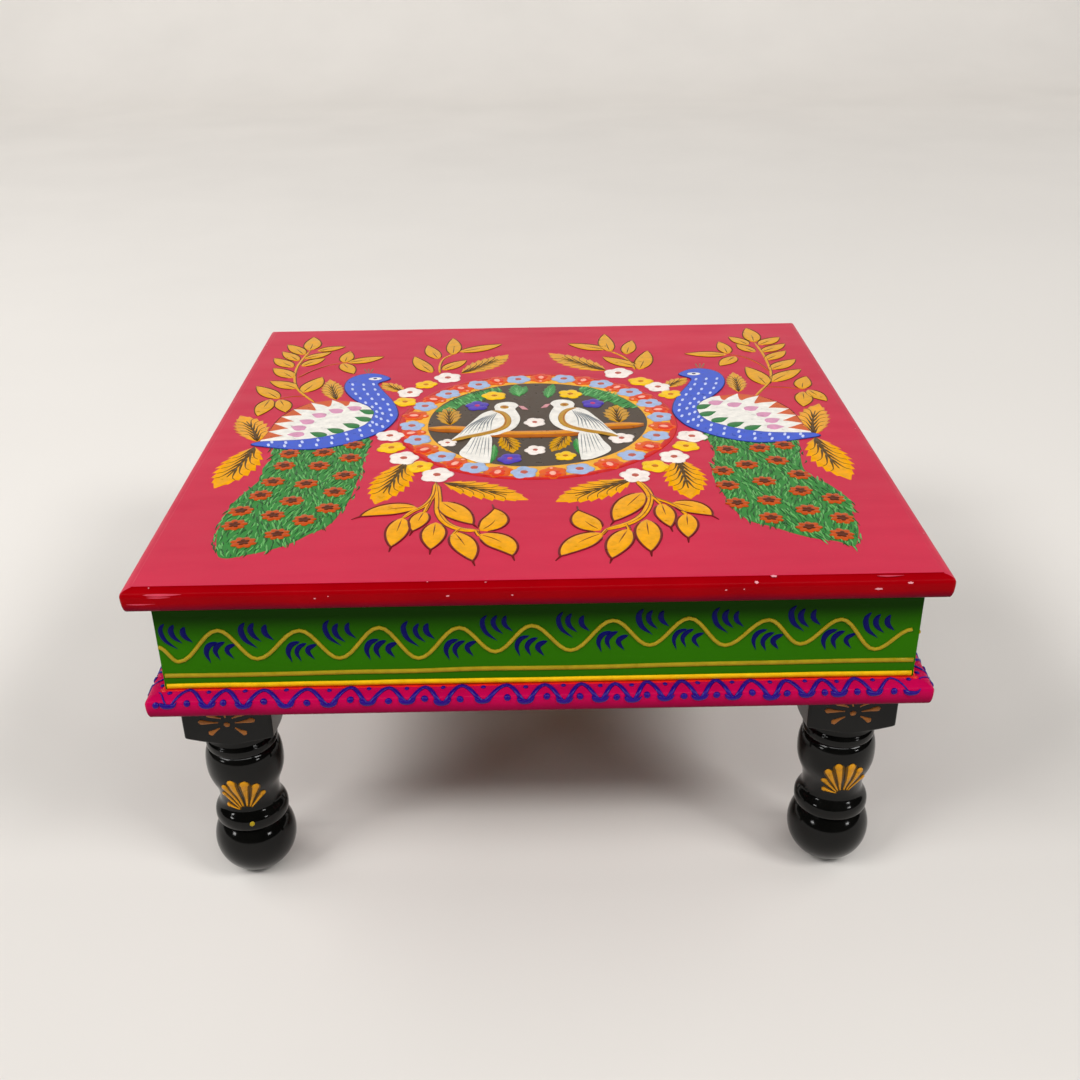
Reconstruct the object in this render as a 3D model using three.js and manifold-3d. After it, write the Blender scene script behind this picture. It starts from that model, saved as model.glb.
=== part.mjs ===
// A bajot: a low square table of painted wood. Three tongued planks with a moulded edge lie on a box of
// four apron boards. The box stands on a mitred base frame, and each turned leg passes its tenon up
// through a corner of that frame into a block inside the box.
// Millimetres, +Z up. The origin is on the floor under the middle of the table, and the front is -Y.
import * as THREE from "three";
import { mergeVertices } from "three/addons/utils/BufferGeometryUtils.js";
import Module from "manifold-3d";

const wasm = await Module();
wasm.setup();

// Top
const topSide = 457.2;
const topThickness = 14;
const topMouldingWidth = 5.8;
const topQuirk = 0.7;
const topNoseDrop = 5;
const topNoseUndercut = 3;
const plankCount = 3;
const tongueThickness = 4;
const tongueLength = 5;

// Box of apron boards
const topOverhang = 12.3;
const apronHeight = 58;
const apronThickness = 12;
const lapThickness = 6;

// Base frame
const baseThickness = 13;
const baseProjection = 10.6;
const baseMouldingWidth = 9.6;
const baseNoseDrop = 4.6;
const baseNoseUndercut = 2.4;
const baseLand = 2.5;
const noseSteps = 5;

// Leg, from the floor up
const footFlatRadius = 7;
const ballRadius = 25.6;
const grooveInset = 6.2;
const collarRadius = 22.9;
const collarLength = 16.7;
const collarLip = 1;
const waistRadius = 18.6;
const vaseRadius = 23.9;
const vaseLength = 39.4;
const creaseRadius = 20.4;
const ringRadius = 21.9;
const ringLength = 5.6;
const coveRadius = 19.8;
const coveLength = 4.5;
const shoulderLength = 5.8;
const shoulderRise = 4.3;
const blockFaceLength = 29.36;
const legStockSide = 53;
const tenonRadius = 12.5;
const legSides = 20;
const legSteps = 3;

// Places along the collar, the vase and the ring where they are fullest, from their lower end
const collarFullShare = 0.28;
const vaseFullShare = 0.66;
const ringFullShare = 0.4;

// Corner blocks inside the box
const blockOuterWall = 5.8;
const blockInnerWall = 15;
const blockHeadroom = 8;
const blockCap = 22;
const blockChamfer = 18;

// Cleats and batten under the planks
const cleatWidth = 20;
const cleatDepth = 18;
const cleatEndGap = 3;
const battenWidth = 60;
const battenDepth = 15;

// Countersunk wood screws: the size of one, how far each kind bites, and its place
const headRadius = 4;
const headDepth = 3;
const shankRadius = 2;
const tipLength = 5;
const headSink = 0.5;
const screwSides = 8;
const plankBite = 7.5;
const sideBite = 7;
const edgeBite = 20;
const tenonBite = 20;
const sideScrewOffset = 9;
const lowScrewShare = 0.28;
const highScrewShare = 0.72;
const railScrewShares = [-0.25, 0.25];
const cleatSideScrewShares = [-0.2, 0.2];
const cleatPlankScrewShares = [-0.4, 0, 0.4];
const battenScrewShares = [-0.36, 0, 0.36];

// Fits: a glue line between faces, the room round a screw, and how far a cut runs past its piece
const glueLine = 0.3;
const screwRoom = 0.3;
const overrun = 5;

// Groove over the ball, and the heights that follow, from the floor up
const grooveRadius = ballRadius - grooveInset;
const ballHeight = Math.sqrt(ballRadius ** 2 - footFlatRadius ** 2);
const grooveHeight = ballHeight + Math.sqrt(ballRadius ** 2 - grooveRadius ** 2);
const waistHeight = grooveHeight + collarLength;
const creaseHeight = waistHeight + vaseLength;
const ringHeight = creaseHeight + ringLength;
const coveHeight = ringHeight + coveLength;
const shoulderHeight = coveHeight + shoulderLength;
const legHeight = shoulderHeight + blockFaceLength;
const baseUnder = legHeight + glueLine;
const baseTop = baseUnder + baseThickness;
const apronUnder = baseTop + glueLine;
const apronTop = apronUnder + apronHeight;
const topUnder = apronTop + glueLine;
const blockTop = apronUnder + apronHeight - blockHeadroom;
const tenonSeat = blockTop - blockCap;

// Half widths that follow, from the middle out
const topHalf = topSide / 2;
const apronHalf = topHalf - topOverhang;
const apronInner = apronHalf - apronThickness;
const baseHalf = apronHalf + baseProjection;
const fitHalf = apronInner - glueLine;
const legAxis = fitHalf - blockOuterWall - tenonRadius;
const blockInner = legAxis - tenonRadius - blockInnerWall;
const baseInner = legAxis - legStockSide / 2 - baseLand;
const cleatHalf = blockInner - cleatEndGap;

// Paints, wood and steel
const painted = (color, roughness) => new THREE.MeshStandardMaterial({ color, roughness, metalness: 0 });
const pinkPaint = painted(0xd63c5c, 0.35);
const greenPaint = painted(0x2d7800, 0.35);
const crimsonPaint = painted(0xc8124a, 0.3);
const blackLacquer = painted(0x171716, 0.25);
const bareWood = painted(0xb98a58, 0.8);
const screwSteel = new THREE.MeshStandardMaterial({ color: 0x9a9a98, roughness: 0.4, metalness: 1 });

// A closed geometry as a solid that can be cut and joined. Where a turned shape meets its axis, triangles
// shrink to a line once their corners are merged, and those are left out.
function solidOf(geometry) {
  const bare = geometry.clone();
  bare.deleteAttribute("normal");
  bare.deleteAttribute("uv");
  const merged = mergeVertices(bare);
  const corners = merged.index.array;
  const kept = [];
  for (let first = 0; first < corners.length; first += 3) {
    const [a, b, c] = corners.slice(first, first + 3);
    if (a !== b && b !== c && c !== a) kept.push(a, b, c);
  }
  return new wasm.Manifold(
    new wasm.Mesh({
      numProp: 3,
      vertProperties: merged.attributes.position.array,
      triVerts: new Uint32Array(kept),
    }),
  );
}

// A cut or joined solid as a geometry again.
function geometryOf(solid) {
  const { vertProperties, triVerts } = solid.getMesh();
  const geometry = new THREE.BufferGeometry();
  geometry.setAttribute("position", new THREE.BufferAttribute(new Float32Array(vertProperties), 3));
  geometry.setIndex(new THREE.BufferAttribute(new Uint32Array(triVerts), 1));
  return geometry;
}

const common = (a, b) => geometryOf(solidOf(a).intersect(solidOf(b)));
const joined = (a, b) => geometryOf(solidOf(a).add(solidOf(b)));
const cut = (geometry, cutters) =>
  geometryOf(cutters.reduce((solid, cutter) => solid.subtract(solidOf(cutter)), solidOf(geometry)));

// A box between its lowest and highest corner.
function boxBetween(low, high) {
  const size = high.map((value, axis) => value - low[axis]);
  const middle = high.map((value, axis) => (value + low[axis]) / 2);
  return new THREE.BoxGeometry(...size).translate(...middle);
}

// A plan outline raised to a height.
function raised(points, height) {
  const shape = new THREE.Shape(points.map(([x, y]) => new THREE.Vector2(x, y)));
  return new THREE.ExtrudeGeometry(shape, { depth: height, bevelEnabled: false });
}

// Points of [radius, height] turned about the Z axis.
function turned(points, sides) {
  const profile = points.map(([radius, height]) => new THREE.Vector2(radius, height));
  return new THREE.LatheGeometry(profile, sides).rotateX(Math.PI / 2);
}

// A square board whose edge is a rounded nose, after an optional small step down from the upper face.
// The nose is fullest a drop under that face, and the lower face draws in by the undercut.
function mouldedBoard(half, thickness, mouldingWidth, noseDrop, noseUndercut, quirk) {
  const edge = new THREE.Path();
  edge.moveTo(0, 0);
  edge.lineTo(half - noseUndercut, 0);
  edge.quadraticCurveTo(half, 0, half, thickness - noseDrop);
  edge.quadraticCurveTo(half, thickness - quirk, half - mouldingWidth, thickness - quirk);
  if (quirk > 0) edge.lineTo(half - mouldingWidth, thickness);
  edge.lineTo(0, thickness);
  const points = edge.getPoints(noseSteps).map(({ x, y }) => [x * Math.SQRT2, y]);
  return turned(points, 4).rotateZ(Math.PI / 4);
}

// A countersunk screw, its head's flat face at zero and its tip up. A hole for it is grown all round.
function screwShape(length, room = 0, headOverrun = 0) {
  return turned(
    [
      [0, -headOverrun],
      [headRadius + room, -headOverrun],
      [headRadius + room, room],
      [shankRadius + room, headDepth + room],
      [shankRadius + room, length - tipLength],
      [0, length + room],
    ],
    screwSides,
  );
}

const bajot = new THREE.Group();
const bores = [];

function addPiece(parent, name, geometry, material, x = 0, y = 0, z = 0) {
  const piece = new THREE.Mesh(geometry, material);
  piece.name = name;
  piece.position.set(x, y, z);
  parent.add(piece);
  return piece;
}

// A screw with its head's flat face at a point, turned so that its tip points down, left, forward or up.
const tipDown = [Math.PI, 0];
const tipLeft = [0, -Math.PI / 2];
const tipForward = [Math.PI / 2, 0];
const tipUp = [0, 0];

function addScrew(parent, name, length, [turnX, turnY], x, y, z) {
  const screw = addPiece(parent, name, screwShape(length), screwSteel, x, y, z);
  screw.rotation.set(turnX, turnY, 0);
  bores.push({ owner: screw, shape: screwShape(length, screwRoom, overrun) });
}

// A turned leg: square stock that the lathe cuts away, with a round tenon on top.
function legShape() {
  const cornerRadius = (legStockSide * Math.SQRT2) / 2;
  const collarFullHeight = grooveHeight + collarLength * collarFullShare;
  const collarBend = (collarFullHeight + waistHeight) / 2;
  const vaseFullHeight = waistHeight + vaseLength * vaseFullShare;
  const vaseBend = (waistHeight + vaseFullHeight) / 2;
  const ringFullHeight = creaseHeight + ringLength * ringFullShare;
  const lipHeight = grooveHeight + collarLip;
  const outline = new THREE.Path();
  const footAngle = Math.acos(footFlatRadius / ballRadius);
  const grooveAngle = Math.acos(grooveRadius / ballRadius);
  outline.moveTo(0, 0);
  outline.lineTo(footFlatRadius, 0);
  outline.absarc(0, ballHeight, ballRadius, -footAngle, grooveAngle, false);
  outline.lineTo(collarRadius - collarLip, lipHeight);
  outline.quadraticCurveTo(collarRadius, lipHeight, collarRadius, collarFullHeight);
  outline.bezierCurveTo(collarRadius, collarBend, waistRadius, collarBend, waistRadius, waistHeight);
  outline.bezierCurveTo(waistRadius, vaseBend, vaseRadius, vaseBend, vaseRadius, vaseFullHeight);
  outline.quadraticCurveTo(vaseRadius, (vaseFullHeight + creaseHeight) / 2, creaseRadius, creaseHeight);
  outline.quadraticCurveTo(ringRadius, creaseHeight, ringRadius, ringFullHeight);
  outline.lineTo(ringRadius, ringHeight);
  outline.quadraticCurveTo(coveRadius, ringHeight, coveRadius, coveHeight);
  outline.quadraticCurveTo(coveRadius, shoulderHeight, legStockSide / 2, shoulderHeight);
  outline.lineTo(cornerRadius, shoulderHeight + shoulderRise);
  outline.lineTo(cornerRadius + overrun, shoulderHeight + shoulderRise);
  outline.lineTo(cornerRadius + overrun, legHeight);
  outline.lineTo(0, legHeight);
  const latheCut = turned(outline.getPoints(legSteps).map(({ x, y }) => [x, y]), legSides);
  const stockHalf = legStockSide / 2;
  const stock = boxBetween([-stockHalf, -stockHalf, -overrun], [stockHalf, stockHalf, legHeight]);
  return joined(common(latheCut, stock), tenonShape(legHeight - overrun, tenonSeat - glueLine, tenonRadius));
}

// A round tenon between two heights, or the mortise for it when its radius is larger.
function tenonShape(low, high, radius) {
  return turned(
    [
      [0, low],
      [radius, low],
      [radius, high],
      [0, high],
    ],
    legSides,
  );
}

// A corner: the leg, its block inside the box, the screw that draws the tenon up, and the two screws
// that hold the block to the boards. Drawn for the front left corner.
function addCorner(name, turn) {
  const corner = new THREE.Group();
  corner.rotation.z = turn;
  bajot.add(corner);
  const leg = addPiece(corner, `leg_${name}`, legShape(), blackLacquer, -legAxis, -legAxis, 0);
  const mortise = tenonShape(legHeight - overrun, tenonSeat, tenonRadius + glueLine);
  bores.push({ owner: leg, shape: mortise });
  const side = fitHalf - blockInner;
  const plan = [
    [0, 0],
    [side, 0],
    [side, side - blockChamfer],
    [side - blockChamfer, side],
    [0, side],
  ];
  const block = raised(plan, blockTop - apronUnder);
  addPiece(corner, `corner_block_${name}`, block, bareWood, -fitHalf, -fitHalf, apronUnder);
  const drawLength = blockCap + glueLine + tenonBite - headSink;
  addScrew(corner, `leg_screw_${name}`, drawLength, tipDown, -legAxis, -legAxis, blockTop - headSink);
  const sideLength = side + glueLine + sideBite - headSink;
  const near = -blockInner - headSink;
  const off = -legAxis - sideScrewOffset;
  const lowHeight = tenonSeat + blockCap * lowScrewShare;
  const highHeight = tenonSeat + blockCap * highScrewShare;
  addScrew(corner, `block_screw_low_${name}`, sideLength, tipLeft, near, off, lowHeight);
  addScrew(corner, `block_screw_high_${name}`, sideLength, tipForward, off, near, highHeight);
}

// A rail of the mitred base frame, with the screws that rise from it into the board above.
// Drawn for the front.
function addRail(name, turn) {
  const side = new THREE.Group();
  side.rotation.z = turn;
  bajot.add(side);
  const mitreGap = glueLine / Math.SQRT2;
  const reach = baseHalf + overrun;
  const past = baseThickness + overrun;
  const well = boxBetween([-baseInner, -baseInner, -overrun], [baseInner, baseInner, past]);
  const edge = [baseMouldingWidth, baseNoseDrop, baseNoseUndercut, 0];
  const frame = cut(mouldedBoard(baseHalf, baseThickness, ...edge), [well]);
  const wedge = [
    [0, -mitreGap],
    [-reach, -reach - mitreGap],
    [reach, -reach - mitreGap],
  ];
  const rail = common(frame, raised(wedge, past).translate(0, 0, -overrun / 2));
  addPiece(side, `base_rail_${name}`, rail, crimsonPaint, 0, 0, baseUnder);
  const length = baseThickness + glueLine + edgeBite - headSink;
  const middle = -apronHalf + apronThickness / 2;
  railScrewShares.forEach((share, index) => {
    const x = 2 * apronHalf * share;
    addScrew(side, `rail_screw_${name}_${index + 1}`, length, tipUp, x, middle, baseUnder + headSink);
  });
}

// The front and back boards run the whole width and lap over the ends of the side boards.
function addLongApron(name, turn) {
  const side = new THREE.Group();
  side.rotation.z = turn;
  bajot.add(side);
  const board = boxBetween([-apronHalf, -apronHalf, 0], [apronHalf, -apronInner, apronHeight]);
  const lapFace = -apronHalf + lapThickness;
  const laps = [-1, 1].map((end) => {
    const ends = [end * fitHalf, end * (apronHalf + overrun)].sort((a, b) => a - b);
    return boxBetween([ends[0], lapFace, -overrun], [ends[1], -apronInner + overrun, apronHeight + overrun]);
  });
  addPiece(side, `apron_${name}`, cut(board, laps), greenPaint, 0, 0, apronUnder);
}

// A side board, and the cleat along its upper edge that the planks are screwed down to.
// Drawn for the left.
function addShortApron(name, turn) {
  const side = new THREE.Group();
  side.rotation.z = turn;
  bajot.add(side);
  const boardHalf = apronHalf - lapThickness - glueLine;
  const board = boxBetween([0, -boardHalf, 0], [apronThickness, boardHalf, apronHeight]);
  addPiece(side, `apron_${name}`, board, greenPaint, -apronHalf, 0, apronUnder);
  const cleat = boxBetween([0, -cleatHalf, -cleatDepth], [cleatWidth, cleatHalf, 0]);
  addPiece(side, `cleat_${name}`, cleat, bareWood, -fitHalf, 0, apronTop);
  const sideLength = cleatWidth + glueLine + sideBite - headSink;
  const sideHead = -fitHalf + cleatWidth - headSink;
  cleatSideScrewShares.forEach((share, index) => {
    const y = 2 * cleatHalf * share;
    const z = apronTop - cleatDepth / 2;
    addScrew(side, `cleat_screw_${name}_${index + 1}`, sideLength, tipLeft, sideHead, y, z);
  });
  const plankLength = cleatDepth + glueLine + plankBite - headSink;
  const plankHead = apronTop - cleatDepth + headSink;
  cleatPlankScrewShares.forEach((share, index) => {
    const x = -fitHalf + cleatWidth / 2;
    const y = 2 * cleatHalf * share;
    addScrew(side, `plank_screw_${name}_${index + 1}`, plankLength, tipUp, x, y, plankHead);
  });
}

// The batten that keeps the planks flat across the middle.
function addBatten() {
  const batten = boxBetween([-battenWidth / 2, -fitHalf, -battenDepth], [battenWidth / 2, fitHalf, 0]);
  addPiece(bajot, "top_batten", batten, bareWood, 0, 0, apronTop);
  const length = battenDepth + glueLine + plankBite - headSink;
  const head = apronTop - battenDepth + headSink;
  battenScrewShares.forEach((share, index) => {
    addScrew(bajot, `batten_screw_${index + 1}`, length, tipUp, 0, 2 * fitHalf * share, head);
  });
}

// The planks run from left to right. Each but the last has a tongue that enters the next one's groove.
function addPlanks(names) {
  const width = topSide / plankCount;
  const edge = [topMouldingWidth, topNoseDrop, topNoseUndercut, topQuirk];
  const board = mouldedBoard(topHalf, topThickness, ...edge);
  const reach = topHalf + overrun;
  const middle = topThickness / 2;
  names.forEach((name, index) => {
    const first = index === 0;
    const last = index === names.length - 1;
    const low = first ? -reach : -topHalf + index * width;
    const high = last ? reach : -topHalf + (index + 1) * width - glueLine;
    let stock = boxBetween([-reach, low, -overrun], [reach, high, topThickness + overrun]);
    if (!last) {
      const half = tongueThickness / 2;
      const tip = high + glueLine + tongueLength;
      stock = joined(stock, boxBetween([-reach, high - overrun, middle - half], [reach, tip, middle + half]));
    }
    if (!first) {
      const half = tongueThickness / 2 + glueLine;
      const floor = low + tongueLength + glueLine;
      stock = cut(stock, [
        boxBetween([-reach - overrun, low - overrun, middle - half], [reach + overrun, floor, middle + half]),
      ]);
    }
    addPiece(bajot, `top_plank_${name}`, common(board, stock), pinkPaint, 0, 0, topUnder);
  });
}

// Every wooden piece is drilled for the screws and tenons of other pieces that pass through it.
function drill(piece) {
  const room = new THREE.Box3().setFromObject(piece);
  const toPiece = piece.matrixWorld.clone().invert();
  const cutters = bores
    .filter(({ owner }) => owner !== piece)
    .map(({ owner, shape }) => shape.clone().applyMatrix4(owner.matrixWorld))
    .filter((shape) => room.intersectsBox(new THREE.Box3().setFromBufferAttribute(shape.attributes.position)))
    .map((shape) => shape.applyMatrix4(toPiece));
  if (cutters.length > 0) piece.geometry = cut(piece.geometry, cutters);
}

const cornerNames = ["front_left", "front_right", "back_right", "back_left"];
const sideNames = ["front", "right", "back", "left"];
cornerNames.forEach((name, index) => addCorner(name, (index * Math.PI) / 2));
sideNames.forEach((name, index) => addRail(name, (index * Math.PI) / 2));
addLongApron("front", 0);
addLongApron("back", Math.PI);
addShortApron("left", 0);
addShortApron("right", Math.PI);
addBatten();
addPlanks(["front", "middle", "back"]);

bajot.updateMatrixWorld(true);
bajot.traverse((piece) => {
  if (piece.isMesh && piece.material !== screwSteel) drill(piece);
});

export default bajot;
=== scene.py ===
"""A painted bajot, the low table of Rajasthan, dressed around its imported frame.

Everything is drawn in millimetres in the frame's own axes, and MM turns it into metres. Painted ornament is
built stroke by stroke as thin raised paint: each stroke, leaf, petal and dot is a closed shape that starts
a hair inside the board it lies on.
"""

import math
import random

import bmesh
import bpy
from bpy.props import FloatProperty, FloatVectorProperty, PointerProperty
from mathutils import Matrix, Vector


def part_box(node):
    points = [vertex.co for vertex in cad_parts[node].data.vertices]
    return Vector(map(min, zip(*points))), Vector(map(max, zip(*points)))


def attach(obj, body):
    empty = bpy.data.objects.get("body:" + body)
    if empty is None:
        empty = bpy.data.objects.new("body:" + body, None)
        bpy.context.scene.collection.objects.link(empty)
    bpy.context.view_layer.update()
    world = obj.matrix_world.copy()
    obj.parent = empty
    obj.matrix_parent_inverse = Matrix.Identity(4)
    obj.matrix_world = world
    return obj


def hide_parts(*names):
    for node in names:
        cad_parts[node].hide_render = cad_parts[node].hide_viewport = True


bl_info = {
    "name": "Painted Bajot",
    "version": (1, 0, 0),
    "blender": (4, 5, 0),
    "location": "View3D > Sidebar > Bajot",
    "description": "Dresses the packed frame of a bajot low table in paint, lacquer and ornament",
    "category": "Add Mesh",
}

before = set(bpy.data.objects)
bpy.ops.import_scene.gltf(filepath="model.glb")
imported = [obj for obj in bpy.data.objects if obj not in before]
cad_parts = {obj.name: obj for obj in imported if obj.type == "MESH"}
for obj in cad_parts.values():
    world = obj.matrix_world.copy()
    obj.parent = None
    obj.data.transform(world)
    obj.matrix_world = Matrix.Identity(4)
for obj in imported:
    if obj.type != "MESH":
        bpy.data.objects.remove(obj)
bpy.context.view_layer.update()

MM = 0.001
SIDES = ("front", "right", "back", "left")
CORNERS = ("front_left", "front_right", "back_right", "back_left")
PLANKS = ("front", "middle", "back")


def box_in_mm(node):
    """The lowest and highest corner of a frame node."""
    low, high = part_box(node)
    return low / MM, high / MM


# Faces that the ornament and the replaced pieces are set against, read from the frame
PLANK_LOW, PLANK_HIGH = box_in_mm("top_plank_front")
TOP_UNDER = PLANK_LOW.z
TOP_FACE = PLANK_HIGH.z
TOP_HALF = PLANK_HIGH.x
PLANK_SEAM = -box_in_mm("top_plank_middle")[0].y
APRON_LOW, APRON_HIGH = box_in_mm("apron_front")
APRON_HALF = -APRON_LOW.y
APRON_UNDER = APRON_LOW.z
APRON_TOP = APRON_HIGH.z
RAIL_LOW, RAIL_HIGH = box_in_mm("base_rail_front")
BASE_HALF = -RAIL_LOW.y
BASE_INNER = -RAIL_HIGH.y
BASE_UNDER = RAIL_LOW.z
BASE_TOP = RAIL_HIGH.z
LEG_LOW, LEG_HIGH = box_in_mm("leg_front_right")
LEG_AXIS = (LEG_LOW.x + LEG_HIGH.x) / 2
BLOCK_HALF = (LEG_HIGH.x - LEG_LOW.x) / 2
TENON_TOP = LEG_HIGH.z


# Colours and sizes that a user would change


def pigment(name, description, red, green, blue):
    """A colour property. Its default is written as on a paint chart, from 0 to 255."""
    levels = [value / 255 for value in (red, green, blue)]
    linear = [v / 12.92 if v <= 0.04045 else ((v + 0.055) / 1.055) ** 2.4 for v in levels]
    return FloatVectorProperty(
        name=name, description=description, subtype="COLOR", size=3, min=0, max=1, default=linear
    )


def length(name, description, value):
    """A length property in millimetres."""
    return FloatProperty(name=name, description=f"{description}, in mm", default=value, min=0)


class BajotColours(bpy.types.PropertyGroup):
    top_pink: pigment("Top pink", "Ground of the top", 203, 20, 64)
    nose_red: pigment("Nose red", "Upper half of the top's moulded edge", 158, 0, 10)
    # On the top's edge this is the edge's own crimson foot; on the base moulding it is a darker copy of the
    # crimson, painted shade under the nose's round
    nose_crimson_and_shade: pigment("Nose crimson", "Foot of the top's moulded edge", 92, 0, 36)
    apron_green: pigment("Apron green", "Ground of the apron boards", 42, 106, 0)
    base_crimson: pigment("Base crimson", "Ground of the base moulding", 192, 6, 76)
    lacquer_black: pigment("Lacquer black", "Turned legs", 9, 9, 8)
    leaf_gold: pigment("Leaf gold", "Leaves near the front", 238, 164, 4)
    leaf_amber: pigment("Leaf amber", "Leaves near the back", 226, 162, 28)
    leaf_line: pigment("Leaf line", "Lines round the leaves", 112, 20, 22)
    vein_brown: pigment("Vein brown", "Veins of the toothed leaves", 84, 54, 4)
    body_blue: pigment("Body blue", "Peacocks' necks and bodies", 62, 92, 204)
    body_line: pigment("Body line", "Lines round the peacocks", 34, 40, 112)
    dash_blue: pigment("Dash blue", "Dashes on the peacocks", 206, 216, 255)
    wing_white: pigment("Wing white", "Peacocks' wings and the doves", 240, 236, 228)
    wing_lilac: pigment("Wing lilac", "Feather marks on the wings", 216, 150, 182)
    wing_green: pigment("Wing green", "Marks along the foot of the wings", 48, 122, 64)
    wing_orange: pigment("Wing orange", "Wedges between the wings' feathers", 208, 92, 40)
    tail_green: pigment("Tail green", "Ground of the tails", 50, 132, 56)
    tail_light: pigment("Tail light", "Light barbs of the tails", 104, 178, 98)
    tail_dark: pigment("Tail dark", "Dark barbs of the tails", 38, 94, 44)
    eye_orange: pigment("Eye orange", "Eyes of the tails", 192, 76, 14)
    eye_heart: pigment("Eye heart", "Hearts of the tails' eyes", 92, 34, 4)
    crest_olive: pigment("Crest olive", "Peacocks' crests", 128, 124, 84)
    ring_red: pigment("Ring red", "Outer line of the ring", 204, 34, 30)
    ring_orange: pigment("Ring orange", "Orange flowers of the ring", 226, 92, 14)
    ring_vermilion: pigment("Ring vermilion", "Hearts of the orange flowers", 222, 54, 22)
    ring_yellow: pigment("Ring yellow", "Ground of the ring", 242, 174, 44)
    petal_white: pigment("Petal white", "White flowers", 250, 236, 228)
    petal_yellow: pigment("Petal yellow", "Yellow flowers", 250, 198, 26)
    petal_blue: pigment("Petal blue", "Pale blue flowers of the ring", 166, 186, 222)
    petal_violet: pigment("Petal violet", "Violet flowers of the medallion", 84, 66, 178)
    heart_rose: pigment("Heart rose", "Hearts of the white and blue flowers", 190, 92, 74)
    heart_amber: pigment("Heart amber", "Hearts of the yellow flowers", 204, 116, 4)
    heart_pink: pigment("Heart pink", "Dots on the orange flowers", 255, 176, 156)
    heart_magenta: pigment("Heart magenta", "Hearts of the violet flowers", 196, 56, 110)
    disc_brown: pigment("Disc brown", "Ground of the medallion", 78, 66, 56)
    foliage_green: pigment("Foliage green", "Foliage of the medallion", 54, 138, 64)
    foliage_light: pigment("Foliage light", "Light strokes on that foliage", 112, 184, 112)
    branch_orange: pigment("Branch orange", "Lit side of the branch", 222, 142, 32)
    branch_brown: pigment("Branch brown", "Shaded side of the branch", 174, 92, 18)
    leaf_deep: pigment("Leaf deep gold", "Toothed leaves inside the ring", 208, 150, 10)
    feather_grey: pigment("Feather grey", "Feather lines on the doves", 128, 134, 138)
    band_ochre: pigment("Band ochre", "Bands of the doves' wings", 190, 142, 48)
    beak_pink: pigment("Beak pink", "Doves' beaks", 214, 150, 156)
    wave_gold: pigment("Wave gold", "Wave and line on the apron", 166, 142, 18)
    comma_blue: pigment("Comma blue", "Comma strokes on the apron", 2, 4, 88)
    joint_yellow: pigment("Joint yellow", "Line along the foot of the apron", 252, 194, 10)
    joint_orange: pigment("Joint orange", "Foot of that line", 226, 92, 6)
    wave_violet: pigment("Wave violet", "Raised wave on the moulding", 38, 0, 124)
    drop_gold: pigment("Drop gold", "Fans on the legs", 208, 142, 18)
    drop_shade: pigment("Drop shade", "Olive between the drops of a fan", 96, 66, 6)
    joint_red: pigment("Joint red", "Strip under the line along the apron's foot", 218, 28, 22)
    drop_ochre: pigment("Drop ochre", "Stars on the legs", 158, 96, 38)
    chip_pale: pigment("Chip pale", "Primer where the edge paint is chipped", 226, 150, 160)
    # Painted highlight: pale pink for the lamps' glints on the front edge's round
    worn_pink: pigment("Worn pink", "Edge paint where it is rubbed thin", 204, 62, 84)
    floor_paper: pigment("Floor paper", "Studio floor and backdrop", 230, 226, 221)


class BajotSizes(bpy.types.PropertyGroup):
    petal_rise: length("Petal rise", "Height of a petal at its fullest", 0.55)
    leaf_rise: length("Leaf rise", "Height of a leaf at its fullest", 0.4)
    wave_rise: length("Wave rise", "Height of the raised waves on the sides", 0.9)
    top_moulding: length("Top moulding", "Width of the top's moulded edge", 5.8)
    top_quirk: length("Top quirk", "Step beside the top's moulded edge", 0.7)
    top_nose_drop: length("Top nose drop", "How far the top's nose lies under its upper face", 5.0)
    top_undercut: length("Top undercut", "How far the top's lower face draws in", 3.0)
    base_moulding: length("Base moulding", "Width of the base's moulded edge", 9.6)
    base_nose_drop: length("Base nose drop", "How far the base's nose lies under its upper face", 4.6)
    base_undercut: length("Base undercut", "How far the base's lower face draws in", 2.4)
    corner_softness: length("Corner softness", "Radius of the moulded corners in plan", 2.6)
    arris: length("Arris", "Radius worn on the apron's corners", 1.1)
    ball_radius: length("Ball radius", "Ball foot", 25.6)
    foot_flat: length("Foot flat", "Radius of the flat under the ball", 7)
    groove_inset: length("Groove inset", "Depth of the groove over the ball", 6.2)
    collar_radius: length("Collar radius", "Collar over the ball", 22.9)
    collar_length: length("Collar length", "From the groove to the waist", 16.7)
    waist_radius: length("Waist radius", "Leg at its thinnest", 18.6)
    vase_radius: length("Vase radius", "Vase at its fullest", 23.9)
    vase_length: length("Vase length", "From the waist to the crease over the vase", 39.4)
    crease_radius: length("Crease radius", "Crease between the vase and its ring", 20.4)
    ring_radius: length("Ring radius", "Ring over the vase", 21.9)
    ring_length: length("Ring length", "Height of that ring", 5.6)
    cove_radius: length("Cove radius", "Cove under the block", 19.8)
    cove_length: length("Cove length", "From the ring into the cove", 4.5)
    shoulder_length: length("Shoulder length", "From the cove to the block", 5.8)
    shoulder_rise: length("Shoulder rise", "How far the shoulder climbs to the corners", 4.3)
    block_edge: length("Block edge", "Softness of the block's lower edge", 1.0)
    tenon_radius: length("Tenon radius", "Round tenon on the leg", 12.5)
    seat_gap: length("Seat gap", "Glue line between the leg and the base", 0.3)


def light(name, description, value):
    """A light's level, where 1 shows a level surface in its own colour."""
    return FloatProperty(name=name, description=description, default=value, min=0)


class BajotStudio(bpy.types.PropertyGroup):
    left_light: light("Left lamp", "Level of the softbox to the left of the camera", 0.29)
    right_light: light("Right lamp", "Level of the softbox to the right of the camera", 0.265)
    glint_light: light("Glint lamps", "Level of the small low lamp beside each of those", 0.018)
    back_light: light("Back lamps", "Level of each softbox behind the table", 0.12)
    high_light: light("High lamp", "Level of the softbox over the camera", 0.21)
    room_light: light("Room", "Level of the room's own light", 0.015)


# Lines and outlines


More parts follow.
